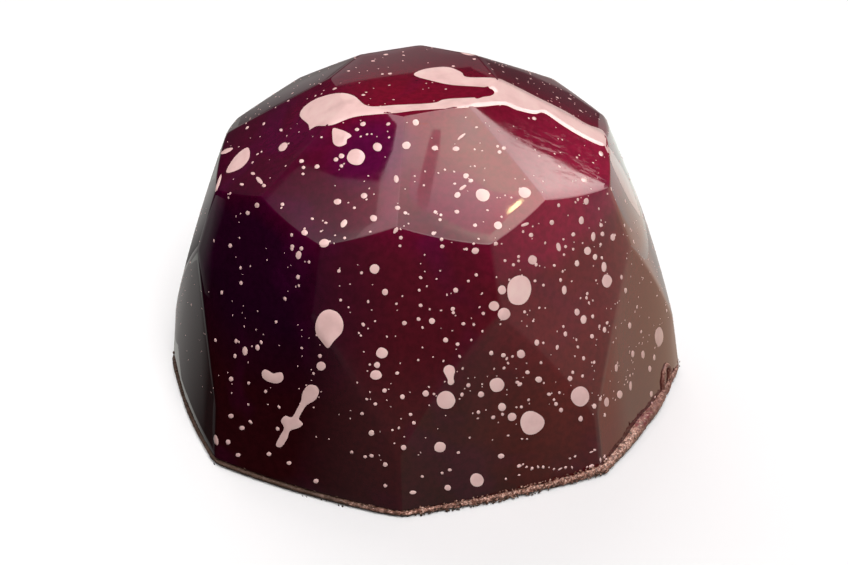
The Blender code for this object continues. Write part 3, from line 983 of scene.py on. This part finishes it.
def make_spots(surface, material):
    """The spots that the photograph shows, and others on the sides that it doesn't show."""
    mesh = bmesh.new()
    level_spots = tuple((*spot, 0) for spot in SMALL_SPOTS)
    for seed, spot in enumerate(SEEN_SPOTS + level_spots):
        add_seen_spot(mesh, surface, spot, seed)
    draw = random.Random(FAR_SPOT_SEED)
    made = 0
    while made < FAR_SPOTS:
        point, normal = random_place(surface, draw)
        radius = random_size(draw, FAR_SPOT_SIZES)
        stretch = draw.uniform(1.0, 1.25)
        angle = draw.uniform(0.0, math.pi)
        if far_from_camera(point, normal) and point.z > FAR_SPOTS_FROM * MM:
            add_placed_spot(mesh, surface, point, normal, radius, stretch, angle, made * 1.3)
            made += 1
    finish_film("pink_spots", mesh, material)


def make_specks(surface, material):
    """The finest spray of pink, thicker towards the front right."""
    mesh = bmesh.new()
    draw = random.Random(SPECK_SEED)
    made = 0
    while made < SPECKS:
        point, normal = random_place(surface, draw)
        radius = random_size(draw, SPECK_SIZES)
        stretch = draw.uniform(1.0, 1.2)
        angle = draw.uniform(0.0, math.pi)
        keep = draw.random()
        thick = 0.5 + 0.5 * max(-1.0, min(1.0, (point.x - 0.5 * point.y) / (SPECK_DRIFT * MM)))
        if point.z > SPECKS_FROM * MM and keep < 0.35 + 0.65 * thick:
            add_placed_spot(mesh, surface, point, normal, radius, stretch, angle, made * 0.7)
            made += 1
    finish_film("pink_specks", mesh, material)


# Foot

def foot_values(turn):
    """How high the scraped band reaches, how rough it is and how far it stands out, at a turn."""
    turn = (turn - FOOT_STATIONS[0][0]) % 360.0 + FOOT_STATIONS[0][0]
    for first, last in zip(FOOT_STATIONS, FOOT_STATIONS[1:]):
        if first[0] <= turn <= last[0]:
            share = (turn - first[0]) / (last[0] - first[0])
            share = share * share * (3.0 - 2.0 * share)
            return [a + (b - a) * share for a, b in zip(first[1:], last[1:])]
    return list(FOOT_STATIONS[-1][1:])


def wall_radius(turn, height):
    """How far from the axis the lower facets stand at a turn and a height."""
    sector = int(((turn - START_TURN) % 360.0) // STEP)
    face = lower_facet(sector)
    out = outward(turn)
    radius = FOOT_RADIUS
    for _ in range(6):
        place = out * radius + np.array([0.0, 0.0, height])
        value, growth = height_over(face, place)
        radius -= value / (growth @ out)
    return radius


def grains(place, size):
    """Crumbs of one size: high in the middle of each and low between them."""
    distances, _ = noise.voronoi(Vector(place) / size)
    return 1.0 - min(1.0, distances[0] * 1.6)


def make_foot(material):
    """The thin layer under the bonbon, whose scraped edge shows round the foot."""
    mesh = bmesh.new()
    rings = []
    for number in range(FOOT_POINTS):
        turn = START_TURN + 360.0 * number / FOOT_POINTS
        top, rough, lip = foot_values(turn)
        out = outward(turn)
        near = [wall_radius(turn + shift, FOOT_LEVEL) for shift in FOOT_SOFTENING]
        soft_radius = sum(near) / len(near)
        column = []
        for share, reach in FOOT_PROFILE:
            inner = reach == FOOT_DEPTH
            height = share * top
            radius = soft_radius + reach + (0.0 if inner else lip)
            place = out * radius + np.array([0.0, 0.0, height])
            crumb = grains(place, COARSE_GRAIN) * 0.5 + grains(place, FINE_GRAIN) * 0.5
            crumb += 0.5 * ripple(place, FOOT_RIPPLE, FOOT_SEED)
            if not inner:
                radius += (crumb - 0.7) * rough
                height = max(0.0, height + (crumb - 0.5) * rough * 0.7 * (share > 0.2))
                radius = min(radius, soft_radius + lip + FOOT_REACH)
            column.append(mesh.verts.new(Vector((*(out[:2] * radius), height)) * MM))
        rings.append(column)
    for column, after in zip(rings, rings[1:] + rings[:1]):
        for low in range(len(FOOT_PROFILE) - 1):
            mesh.faces.new((column[low], after[low], after[low + 1], column[low + 1]))
    mesh.faces.new([column[0] for column in reversed(rings)])
    mesh.faces.new([column[-1] for column in rings])
    bmesh.ops.triangulate(mesh, faces=[face for face in mesh.faces if len(face.verts) > 4])
    foot = link_mesh("scraped_foot", mesh, material, FOOT_SMOOTH_ANGLE)
    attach(foot, "root")
    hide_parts("closing_layer")
    return foot


def add_crumb(mesh, place, normal, size, draw):
    """Adds one small irregular chip that lies on the surface."""
    made = bmesh.ops.create_icosphere(mesh, subdivisions=2, radius=1.0)["verts"]
    stretch = Vector((draw.uniform(0.7, 1.5), draw.uniform(0.5, 1.0), draw.uniform(0.3, 0.6)))
    turn = Matrix.Rotation(draw.uniform(0.0, math.pi), 3, "Z")
    upright = normal.to_track_quat("Z", "Y").to_matrix()
    seed = draw.uniform(0.0, 50.0)
    for vertex in made:
        direction = vertex.co.normalized()
        bumps = 1.0 + 0.45 * noise.noise(direction * 1.6 + Vector((seed, 0.0, 0.0)))
        local = turn @ Vector((a * b for a, b in zip(direction * bumps, stretch)))
        vertex.co = place + upright @ local * (size * MM)
        vertex.co.z = max(0.0, vertex.co.z)


def add_curl(mesh, surface):
    """Adds the closed curl of scraped chocolate that lies on the wall at the right of the foot."""
    centre, normal = seen_place(surface, *CURL_PIXEL)
    across = Vector((0.0, 0.0, 1.0)).cross(normal).normalized()
    along = normal.cross(across)
    for direction in (across, along):
        direction.rotate(Matrix.Rotation(math.radians(-CURL_TILT), 3, normal))
    half_width, half_height, thickness = CURL_SIZE
    rings = []
    for number in range(CURL_STEPS):
        turn = 2.0 * math.pi * number / CURL_STEPS
        outward_step = across * math.cos(turn) + along * math.sin(turn)
        middle = across * (half_width * math.cos(turn)) + along * (half_height * math.sin(turn))
        uneven = thickness * (1.0 + CURL_UNEVEN * ripple(middle, CURL_RIPPLE, CURL_SEED))
        ring = []
        for step in range(CURL_SIDES):
            angle = 2.0 * math.pi * step / CURL_SIDES
            offset = outward_step * (uneven * math.cos(angle)) + normal * (uneven * math.sin(angle))
            ring.append(mesh.verts.new(centre + (middle + offset) * MM))
        rings.append(ring)
    for ring, after in zip(rings, rings[1:] + rings[:1]):
        for step in range(CURL_SIDES):
            last = (step + 1) % CURL_SIDES
            mesh.faces.new((ring[step], after[step], after[last], ring[last]))


def make_chips(surface, material):
    """Small pale flecks that lie on the walls just above the foot."""
    mesh = bmesh.new()
    draw = random.Random(CHIP_SEED)
    for x, y, size in SEEN_CHIPS:
        seen = seen_place(surface, x, y)
        if seen is not None:
            add_crumb(mesh, seen[0], seen[1], size / PIXELS_PER_MM, draw)
    chips = link_mesh("pale_chips", mesh, material, FOOT_SMOOTH_ANGLE)
    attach(chips, "root")


def make_crumbs(surface, material):
    """Loose chips of scraped chocolate in the crumbly edge of the foot, and one curl."""
    mesh = bmesh.new()
    draw = random.Random(CRUMB_SEED)
    add_curl(mesh, surface)
    for _ in range(EDGE_CRUMBS):
        turn = draw.uniform(-4.0, 42.0) if draw.random() < 0.6 else draw.uniform(42.0, 350.0)
        top, _, lip = foot_values(turn)
        out = Vector(outward(turn))
        rise = draw.uniform(-0.42, 0.10)
        radius = wall_radius(turn, 0.5) + (lip + 0.05 if rise < -0.05 else 0.0)
        place = (out * radius + Vector((0.0, 0.0, top + rise))) * MM
        add_crumb(mesh, place, out, draw.uniform(*CRUMB_SIZES), draw)
    crumbs = link_mesh("chocolate_crumbs", mesh, material, FOOT_SMOOTH_ANGLE)
    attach(crumbs, "root")


# Materials

class Nodes:
    """Short ways to add and join a material's nodes."""

    def __init__(self, tree):
        self.tree = tree

    def add(self, kind, **settings):
        node = self.tree.nodes.new(kind)
        for key, value in settings.items():
            setattr(node, key, value)
        return node

    def join(self, output, target):
        self.tree.links.new(output, target)

    def object_place(self):
        """Object coordinates in millimetres."""
        place = self.add("ShaderNodeTexCoord")
        scaled = self.add("ShaderNodeVectorMath", operation="SCALE")
        self.join(place.outputs["Object"], scaled.inputs[0])
        scaled.inputs["Scale"].default_value = 1.0 / MM
        return scaled.outputs[0]

    def noise(self, place, size, detail=3.0, roughness=0.5, distortion=0.0):
        texture = self.add("ShaderNodeTexNoise")
        texture.inputs["Scale"].default_value = 1.0 / size
        texture.inputs["Detail"].default_value = detail
        texture.inputs["Roughness"].default_value = roughness
        texture.inputs["Distortion"].default_value = distortion
        self.join(place, texture.inputs["Vector"])
        return texture.outputs["Fac"]

    def remap(self, value, low, high, to_low=0.0, to_high=1.0, kind="SMOOTHSTEP"):
        node = self.add("ShaderNodeMapRange", interpolation_type=kind)
        self.join(value, node.inputs["Value"])
        ends = (("From Min", low), ("From Max", high), ("To Min", to_low), ("To Max", to_high))
        for name, number in ends:
            node.inputs[name].default_value = number
        return node.outputs["Result"]

    def ramp(self, value, stops):
        node = self.add("ShaderNodeValToRGB")
        ramp = node.color_ramp
        while len(ramp.elements) < len(stops):
            ramp.elements.new(0.5)
        for element, (position, colour) in zip(ramp.elements, stops):
            element.position = position
            element.color = (*colour, 1.0)
        self.join(value, node.inputs["Fac"])
        return node.outputs["Color"]

    def mix(self, share, first, second, blend="MIX"):
        node = self.add("ShaderNodeMix", data_type="RGBA", blend_type=blend)
        if isinstance(share, float):
            node.inputs["Factor"].default_value = share
        else:
            self.join(share, node.inputs["Factor"])
        for value, name in ((first, "A"), (second, "B")):
            socket = [s for s in node.inputs if s.name == name and s.type == "RGBA"][0]
            if isinstance(value, tuple):
                socket.default_value = (*value, 1.0)
            else:
                self.join(value, socket)
        return [s for s in node.outputs if s.type == "RGBA"][0]

    def maths(self, operation, first, second):
        node = self.add("ShaderNodeMath", operation=operation)
        for value, socket in ((first, node.inputs[0]), (second, node.inputs[1])):
            if isinstance(value, float):
                socket.default_value = value
            else:
                self.join(value, socket)
        return node.outputs[0]

    def distance(self, place, middle):
        node = self.add("ShaderNodeVectorMath", operation="DISTANCE")
        self.join(place, node.inputs[0])
        node.inputs[1].default_value = middle
        return node.outputs["Value"]

    def parts(self, place):
        node = self.add("ShaderNodeSeparateXYZ")
        self.join(place, node.inputs[0])
        return node.outputs

    def grey(self, value):
        node = self.add("ShaderNodeCombineColor")
        for socket in node.inputs:
            self.join(value, socket)
        return node.outputs[0]

    def scaled_noise(self, place, size, scale):
        return self.maths("MULTIPLY", self.noise(place, size), scale)

    def bump(self, height, distance):
        node = self.add("ShaderNodeBump")
        node.inputs["Distance"].default_value = distance * MM
        node.inputs["Strength"].default_value = 1.0
        self.join(height, node.inputs["Height"])
        return node.outputs["Normal"]


def new_material(name):
    """A material with a surface shader, the means to add nodes to it, and that shader."""
    material = bpy.data.materials.new(name)
    material.use_nodes = True
    return material, Nodes(material.node_tree), material.node_tree.nodes["Principled BSDF"]


def shell_material():
    """Glossy sprayed cocoa butter, with rubbed lines that dull it a little."""
    material, nodes, shader = new_material("burgundy_cocoa_butter")
    place = nodes.object_place()
    nodes.join(shell_colour(nodes, place), shader.inputs["Base Color"])
    scuffs = scuff_lines(nodes, place)
    gloss = nodes.remap(nodes.noise(place, GLOSS_SIZE, 3.0), 0.35, 0.75, GLOSS, GLOSS * 1.8)
    gloss = nodes.maths("ADD", gloss, nodes.maths("MULTIPLY", scuffs, SCUFF_ROUGHNESS))
    nodes.join(gloss, shader.inputs["Roughness"])
    nodes.join(nodes.bump(scuffs, SCUFF_DEPTH), shader.inputs["Normal"])
    shader.inputs["IOR"].default_value = COCOA_BUTTER_IOR
    return material


def shell_colour(nodes, place):
    """Crimson on the crown, wine on the walls, brown towards the foot, with purple and mottling, and
    painted shade that darkens the back.
    """
    parts = nodes.parts(place)
    drift = nodes.maths("MULTIPLY", nodes.noise(place, DRIFT_SIZE, 2.0), DRIFT)
    height = nodes.maths("ADD", parts["Z"], drift)
    share = nodes.remap(height, 0.5 * DRIFT, TOP_HEIGHT + 0.5 * DRIFT, kind="LINEAR")
    left, middle, right = (nodes.ramp(share, stops)
                           for stops in (LEFT_COLOURS, MIDDLE_COLOURS, RIGHT_COLOURS))
    across = nodes.maths("ADD", parts["X"], drift)
    colour = middle
    for side, fade in ((left, LEFT_FADE), (right, RIGHT_FADE)):
        inner, outer = (edge + 0.5 * DRIFT for edge in fade)
        colour = nodes.mix(nodes.remap(across, inner, outer), colour, side)
    colour = nodes.mix(purple_share(nodes, place, parts["Z"], drift), colour, PURPLE)
    mottle = nodes.remap(nodes.noise(place, MOTTLE_SIZE, 4.0, 0.6), 0.3, 0.7, 0.82, 1.15)
    colour = nodes.mix(1.0, colour, nodes.grey(mottle), "MULTIPLY")
    # Painted shade: the back of the shell is darkened towards a dark wine
    return nodes.mix(nodes.remap(parts["Y"], *PAINTED_BACK_SHADE_FADE, 0.0, PAINTED_BACK_SHADE_STRENGTH), colour, PAINTED_BACK_SHADE)


def purple_share(nodes, place, height, drift):
    """How purple the shell is: a little in patches, and most beside the front crown facet."""
    patches = nodes.remap(nodes.noise(place, PATCH_SIZE, 2.0, 0.5, 0.6), 0.50, 0.68)
    patches = nodes.maths("MULTIPLY", patches, nodes.remap(height, *CROWN_FADE, 0.15, 0.35))
    middle, _, _ = facet_place(gem_facets()["crown", SIDES - 1][0], *PURPLE_PIXEL)
    near = nodes.maths("ADD", nodes.distance(place, middle), nodes.maths("MULTIPLY", drift, 0.3))
    bloom = nodes.remap(near, PURPLE_SIZE, 0.4 * PURPLE_SIZE, 0.0, 0.8)
    return nodes.maths("MAXIMUM", patches, bloom)


def scuff_lines(nodes, place):
    """Fine rubbed lines and smudges, most of them on the crown facet at the front right."""
    middle, _, _ = facet_place(gem_facets()["crown", 1][0], *SCUFF_PIXEL)
    mask = nodes.remap(nodes.distance(place, middle), SCUFF_SIZE, 0.4 * SCUFF_SIZE, 0.04, 1.0)
    stretched = nodes.add("ShaderNodeMapping")
    stretched.inputs["Rotation"].default_value = [math.radians(angle) for angle in SCUFF_TURN]
    stretched.inputs["Scale"].default_value = SCUFF_STRETCH
    nodes.join(place, stretched.inputs["Vector"])
    lines = nodes.remap(nodes.noise(stretched.outputs[0], 1.0, 3.0, 0.6, 0.8), 0.54, 0.66)
    smudges = nodes.remap(nodes.noise(place, 0.7, 4.0, 0.65), 0.56, 0.66, 0.0, 0.5)
    return nodes.maths("MULTIPLY", nodes.maths("MAXIMUM", lines, smudges), mask)


def film_material():
    """Opaque pale pink cocoa butter with the shell's own gloss."""
    material, nodes, shader = new_material("pale_pink_cocoa_butter")
    place = nodes.object_place()
    cloud = nodes.noise(place, CLOUD_SIZE, 3.0)
    colour = nodes.ramp(cloud, ((0.3, FILM_SHADE), (0.5, FILM_PINK), (0.72, FILM_CREAM)))
    nodes.join(colour, shader.inputs["Base Color"])
    gloss = nodes.remap(nodes.noise(place, 1.0, 2.0), 0.3, 0.7, GLOSS, GLOSS * 2.0)
    nodes.join(gloss, shader.inputs["Roughness"])
    shader.inputs["IOR"].default_value = COCOA_BUTTER_IOR
    return material


def scraped_material():
    """Scraped milk chocolate, coppery where it is broken, dark brown in flecks, with painted shade along
    its bottom.
    """
    material, nodes, shader = new_material("scraped_milk_chocolate")
    place = nodes.object_place()
    nodes.join(scraped_colour(nodes, place), shader.inputs["Base Color"])
    rough = nodes.remap(nodes.noise(place, 0.3, 3.0), 0.3, 0.7, 0.25, 0.6)
    nodes.join(rough, shader.inputs["Roughness"])
    nodes.join(nodes.bump(nodes.noise(place, 0.09, 4.0, 0.7), 0.03), shader.inputs["Normal"])
    return material


def scraped_colour(nodes, place):
    """Flakes and flecks with painted shade along the bottom of the band, darker at the left, browner and
    stained red at the right lip.
    """
    flakes = nodes.noise(place, FLAKE_SIZE, 4.0, 0.7)
    colour = nodes.ramp(flakes, ((0.40, SCRAPED_DARK), (0.53, SCRAPED_COPPER), (0.70, SCRAPED_PALE)))
    flecks = nodes.noise(place, FLECK_SIZE, 2.0, 0.6)
    colour = nodes.mix(nodes.remap(flecks, 0.57, 0.64), colour, SCRAPED_PALE)
    colour = nodes.mix(nodes.remap(flecks, 0.44, 0.38), colour, SCRAPED_DEEP_BROWN_AND_SHADE)
    parts = nodes.parts(place)
    # Painted shade: the band darkens towards its bottom edge
    height = nodes.maths("ADD", parts["Z"], nodes.scaled_noise(place, 0.5, 0.2))
    colour = nodes.mix(nodes.remap(height, *UNDER_SHADE_FADE), SCRAPED_DEEP_BROWN_AND_SHADE, colour)
    middle, _, _ = facet_place(lower_facet(1), *STAIN_PIXEL)
    near = nodes.maths("ADD", nodes.distance(place, middle), nodes.scaled_noise(place, 0.5, 0.8))
    patchy = nodes.remap(nodes.noise(place, 0.28, 3.0, 0.6), 0.42, 0.56)
    stain = nodes.maths("MULTIPLY", nodes.remap(near, STAIN_SIZE + 0.6, STAIN_SIZE + 0.1), patchy)
    colour = nodes.mix(stain, colour, STAIN_RED)
    brown = nodes.remap(nodes.noise(place, 0.6, 2.0), 0.38, 0.60, 0.85, 0.35)
    brown = nodes.maths("MULTIPLY", nodes.remap(parts["X"], *LIP_FADE), brown)
    colour = nodes.mix(brown, colour, LIP_BROWN)
    across = nodes.maths("ADD", parts["X"], nodes.scaled_noise(place, 0.6, 5.0))
    return nodes.mix(nodes.remap(across, *LEFT_FOOT_FADE, 0.0, 0.9), colour, SCRAPED_DEEP_BROWN_AND_SHADE)


# Studio

def glow_material(name):
    """A lit panel whose light at each corner is the corner's own glow colour."""
    material = bpy.data.materials.new(name)
    material.use_nodes = True
    nodes = Nodes(material.node_tree)
    material.node_tree.nodes.clear()
    glow = nodes.add("ShaderNodeAttribute", attribute_name="glow")
    light = nodes.add("ShaderNodeEmission")
    nodes.join(glow.outputs["Color"], light.inputs["Color"])
    output = nodes.add("ShaderNodeOutputMaterial")
    nodes.join(light.outputs[0], output.inputs["Surface"])
    return material


def facet_place(face, x, y):
    """Where a pixel's ray meets a facet widened past its edges, with the facet's normal and the ray."""
    start, direction = (np.array(vector) for vector in pixel_ray(x, y))
    reach = (face["point"] - start) @ direction
    for _ in range(12):
        value, growth = height_over(face, start + direction * reach)
        reach -= value / (growth @ direction)
    place = start + direction * reach
    _, growth = height_over(face, place)
    return place, growth / np.linalg.norm(growth), direction


def mirror_place(face, x, y, distance):
    """The point in the studio that a facet mirrors at a pixel."""
    place, normal, direction = facet_place(face, x, y)
    mirrored = direction - 2.0 * (direction @ normal) * normal
    return place + mirrored * distance


def make_mirror_panel(name, face, corners, tiles, distance, colour):
    """A soft panel whose mirror image fills the outline that its corners give in the photograph."""
    places = [mirror_place(face, x, y, distance) for x, y, _ in corners]
    data = bpy.data.meshes.new(name)
    data.from_pydata([Vector(place) * MM for place in places], [], tiles)
    glow = data.attributes.new("glow", "FLOAT_COLOR", "POINT")
    for number, (_, _, strength) in enumerate(corners):
        shades = strength if isinstance(strength, tuple) else tuple(strength * part for part in colour)
        glow.data[number].color = (*shades, 1.0)
    data.materials.append(glow_material(name))
    panel = bpy.data.objects.new(name, data)
    bpy.context.collection.objects.link(panel)
    panel.visible_camera = False
    panel.visible_diffuse = False
    panel.visible_shadow = False


def make_panels():
    """The panels and the window that the facets mirror towards the camera."""
    gem = gem_facets()
    for name, facet_name, distance, colour, corners in PANELS:
        make_mirror_panel(name, gem[facet_name][0], corners, [list(range(len(corners)))], distance, colour)
    width = len(WINDOW_ROWS[0])
    corners = [corner for row in WINDOW_ROWS for corner in row]
    tiles = [[low + column, low + column + 1, low + column + 1 + width, low + column + width]
             for low in range(0, len(corners) - width, width) for column in range(width - 1)]
    make_mirror_panel("window", gem["crown", 0][0], corners, tiles, WINDOW_DISTANCE, None)


def edge_lights():
    """Soft lights that the rounded edges between bright facets mirror, as room lights."""
    gem = gem_facets()
    _, _, _, ahead = camera_axes()
    view = np.array(ahead)
    lights = []
    for first, last, share, inner, outer, radiance in EDGE_LIGHTS:
        normal = gem[first][0]["normal"] * (1.0 - share) + gem[last][0]["normal"] * share
        normal = normal / np.linalg.norm(normal)
        direction = view - 2.0 * (view @ normal) * normal
        lights.append((tuple(direction), inner, outer, radiance))
    return tuple(lights)


def make_surroundings():
    """The dim room round the bonbon, which only its gloss sees: soft bright and dark places."""
    world = bpy.data.worlds.new("room")
    bpy.context.scene.world = world
    world.use_nodes = True
    world.cycles_visibility.diffuse = False
    world.cycles_visibility.camera = False
    nodes = Nodes(world.node_tree)
    place = nodes.add("ShaderNodeTexCoord").outputs["Generated"]
    dim = nodes.remap(nodes.parts(place)["Z"], *ROOM_HORIZON, ROOM_LOW, ROOM_HIGH)
    total = nodes.add("ShaderNodeCombineXYZ")
    for socket in total.inputs:
        nodes.join(dim, socket)
    total = total.outputs[0]
    for direction, inner, outer, radiance in ROOM_LIGHTS + edge_lights():
        dot = nodes.add("ShaderNodeVectorMath", operation="DOT_PRODUCT")
        nodes.join(place, dot.inputs[0])
        dot.inputs[1].default_value = Vector(direction).normalized()
        ends, full = (math.cos(math.radians(angle)) for angle in (outer, inner))
        spot = nodes.remap(dot.outputs["Value"], ends, full)
        glow = nodes.add("ShaderNodeVectorMath", operation="SCALE")
        glow.inputs[0].default_value = radiance
        nodes.join(spot, glow.inputs["Scale"])
        both = nodes.add("ShaderNodeVectorMath", operation="ADD")
        nodes.join(total, both.inputs[0])
        nodes.join(glow.outputs[0], both.inputs[1])
        total = both.outputs[0]
    above_dark = nodes.add("ShaderNodeVectorMath", operation="MAXIMUM")
    nodes.join(total, above_dark.inputs[0])
    nodes.join(above_dark.outputs[0], world.node_tree.nodes["Background"].inputs["Color"])


def make_lamp(name, towards, strength, spread, colour):
    """A wide soft light from one direction, which lights surfaces but isn't mirrored in them."""
    data = bpy.data.lights.new(name, "SUN")
    data.energy = strength
    data.angle = math.radians(spread)
    data.color = colour
    lamp = bpy.data.objects.new(name, data)
    bpy.context.collection.objects.link(lamp)
    lamp.rotation_euler = Vector(towards).to_track_quat("Z", "Y").to_euler()
    lamp.visible_glossy = False


def make_floor():
    """A plain pale floor under the bonbon."""
    bpy.ops.mesh.primitive_plane_add(size=FLOOR_SIZE)
    floor = bpy.context.object
    floor.name = "floor"
    material, nodes, shader = new_material("pale_floor")
    place = nodes.object_place()
    tone = nodes.remap(nodes.noise(place, FLOOR_PATCH, 2.0), 0.3, 0.7, *FLOOR_TONES)
    nodes.join(nodes.grey(tone), shader.inputs["Base Color"])
    shader.inputs["Roughness"].default_value = FLOOR_ROUGHNESS
    shader.inputs["Specular IOR Level"].default_value = 0.0
    floor.data.materials.append(material)
    floor.visible_glossy = False
    floor.visible_diffuse = False


def make_backdrop():
    """A wide pale dome behind everything, for views that look past the floor."""
    bpy.ops.mesh.primitive_uv_sphere_add(segments=48, ring_count=24, radius=BACKDROP_RADIUS)
    dome = bpy.context.object
    dome.name = "backdrop"
    material = bpy.data.materials.new("pale_backdrop")
    material.use_nodes = True
    material.node_tree.nodes.clear()
    nodes = Nodes(material.node_tree)
    light = nodes.add("ShaderNodeEmission")
    light.inputs["Strength"].default_value = BACKDROP_GLOW
    output = nodes.add("ShaderNodeOutputMaterial")
    nodes.join(light.outputs[0], output.inputs["Surface"])
    dome.data.materials.append(material)
    dome.visible_glossy = False
    dome.visible_diffuse = False
    dome.visible_shadow = False


def make_studio():
    """The floor, the backdrop, the room that the gloss sees, and the lamps."""
    make_floor()
    make_backdrop()
    make_surroundings()
    make_panels()
    for lamp in LAMPS:
        make_lamp(*lamp)
    bpy.context.scene.view_settings.view_transform = "Standard"


make_camera()
shell = make_shell(shell_material())
surface = surface_of(shell)
pink = film_material()
make_drizzle(surface, pink)
make_spots(surface, pink)
make_specks(surface, pink)
scraped = scraped_material()
make_foot(scraped)
make_crumbs(surface, scraped)
make_chips(surface, pink)
make_studio()
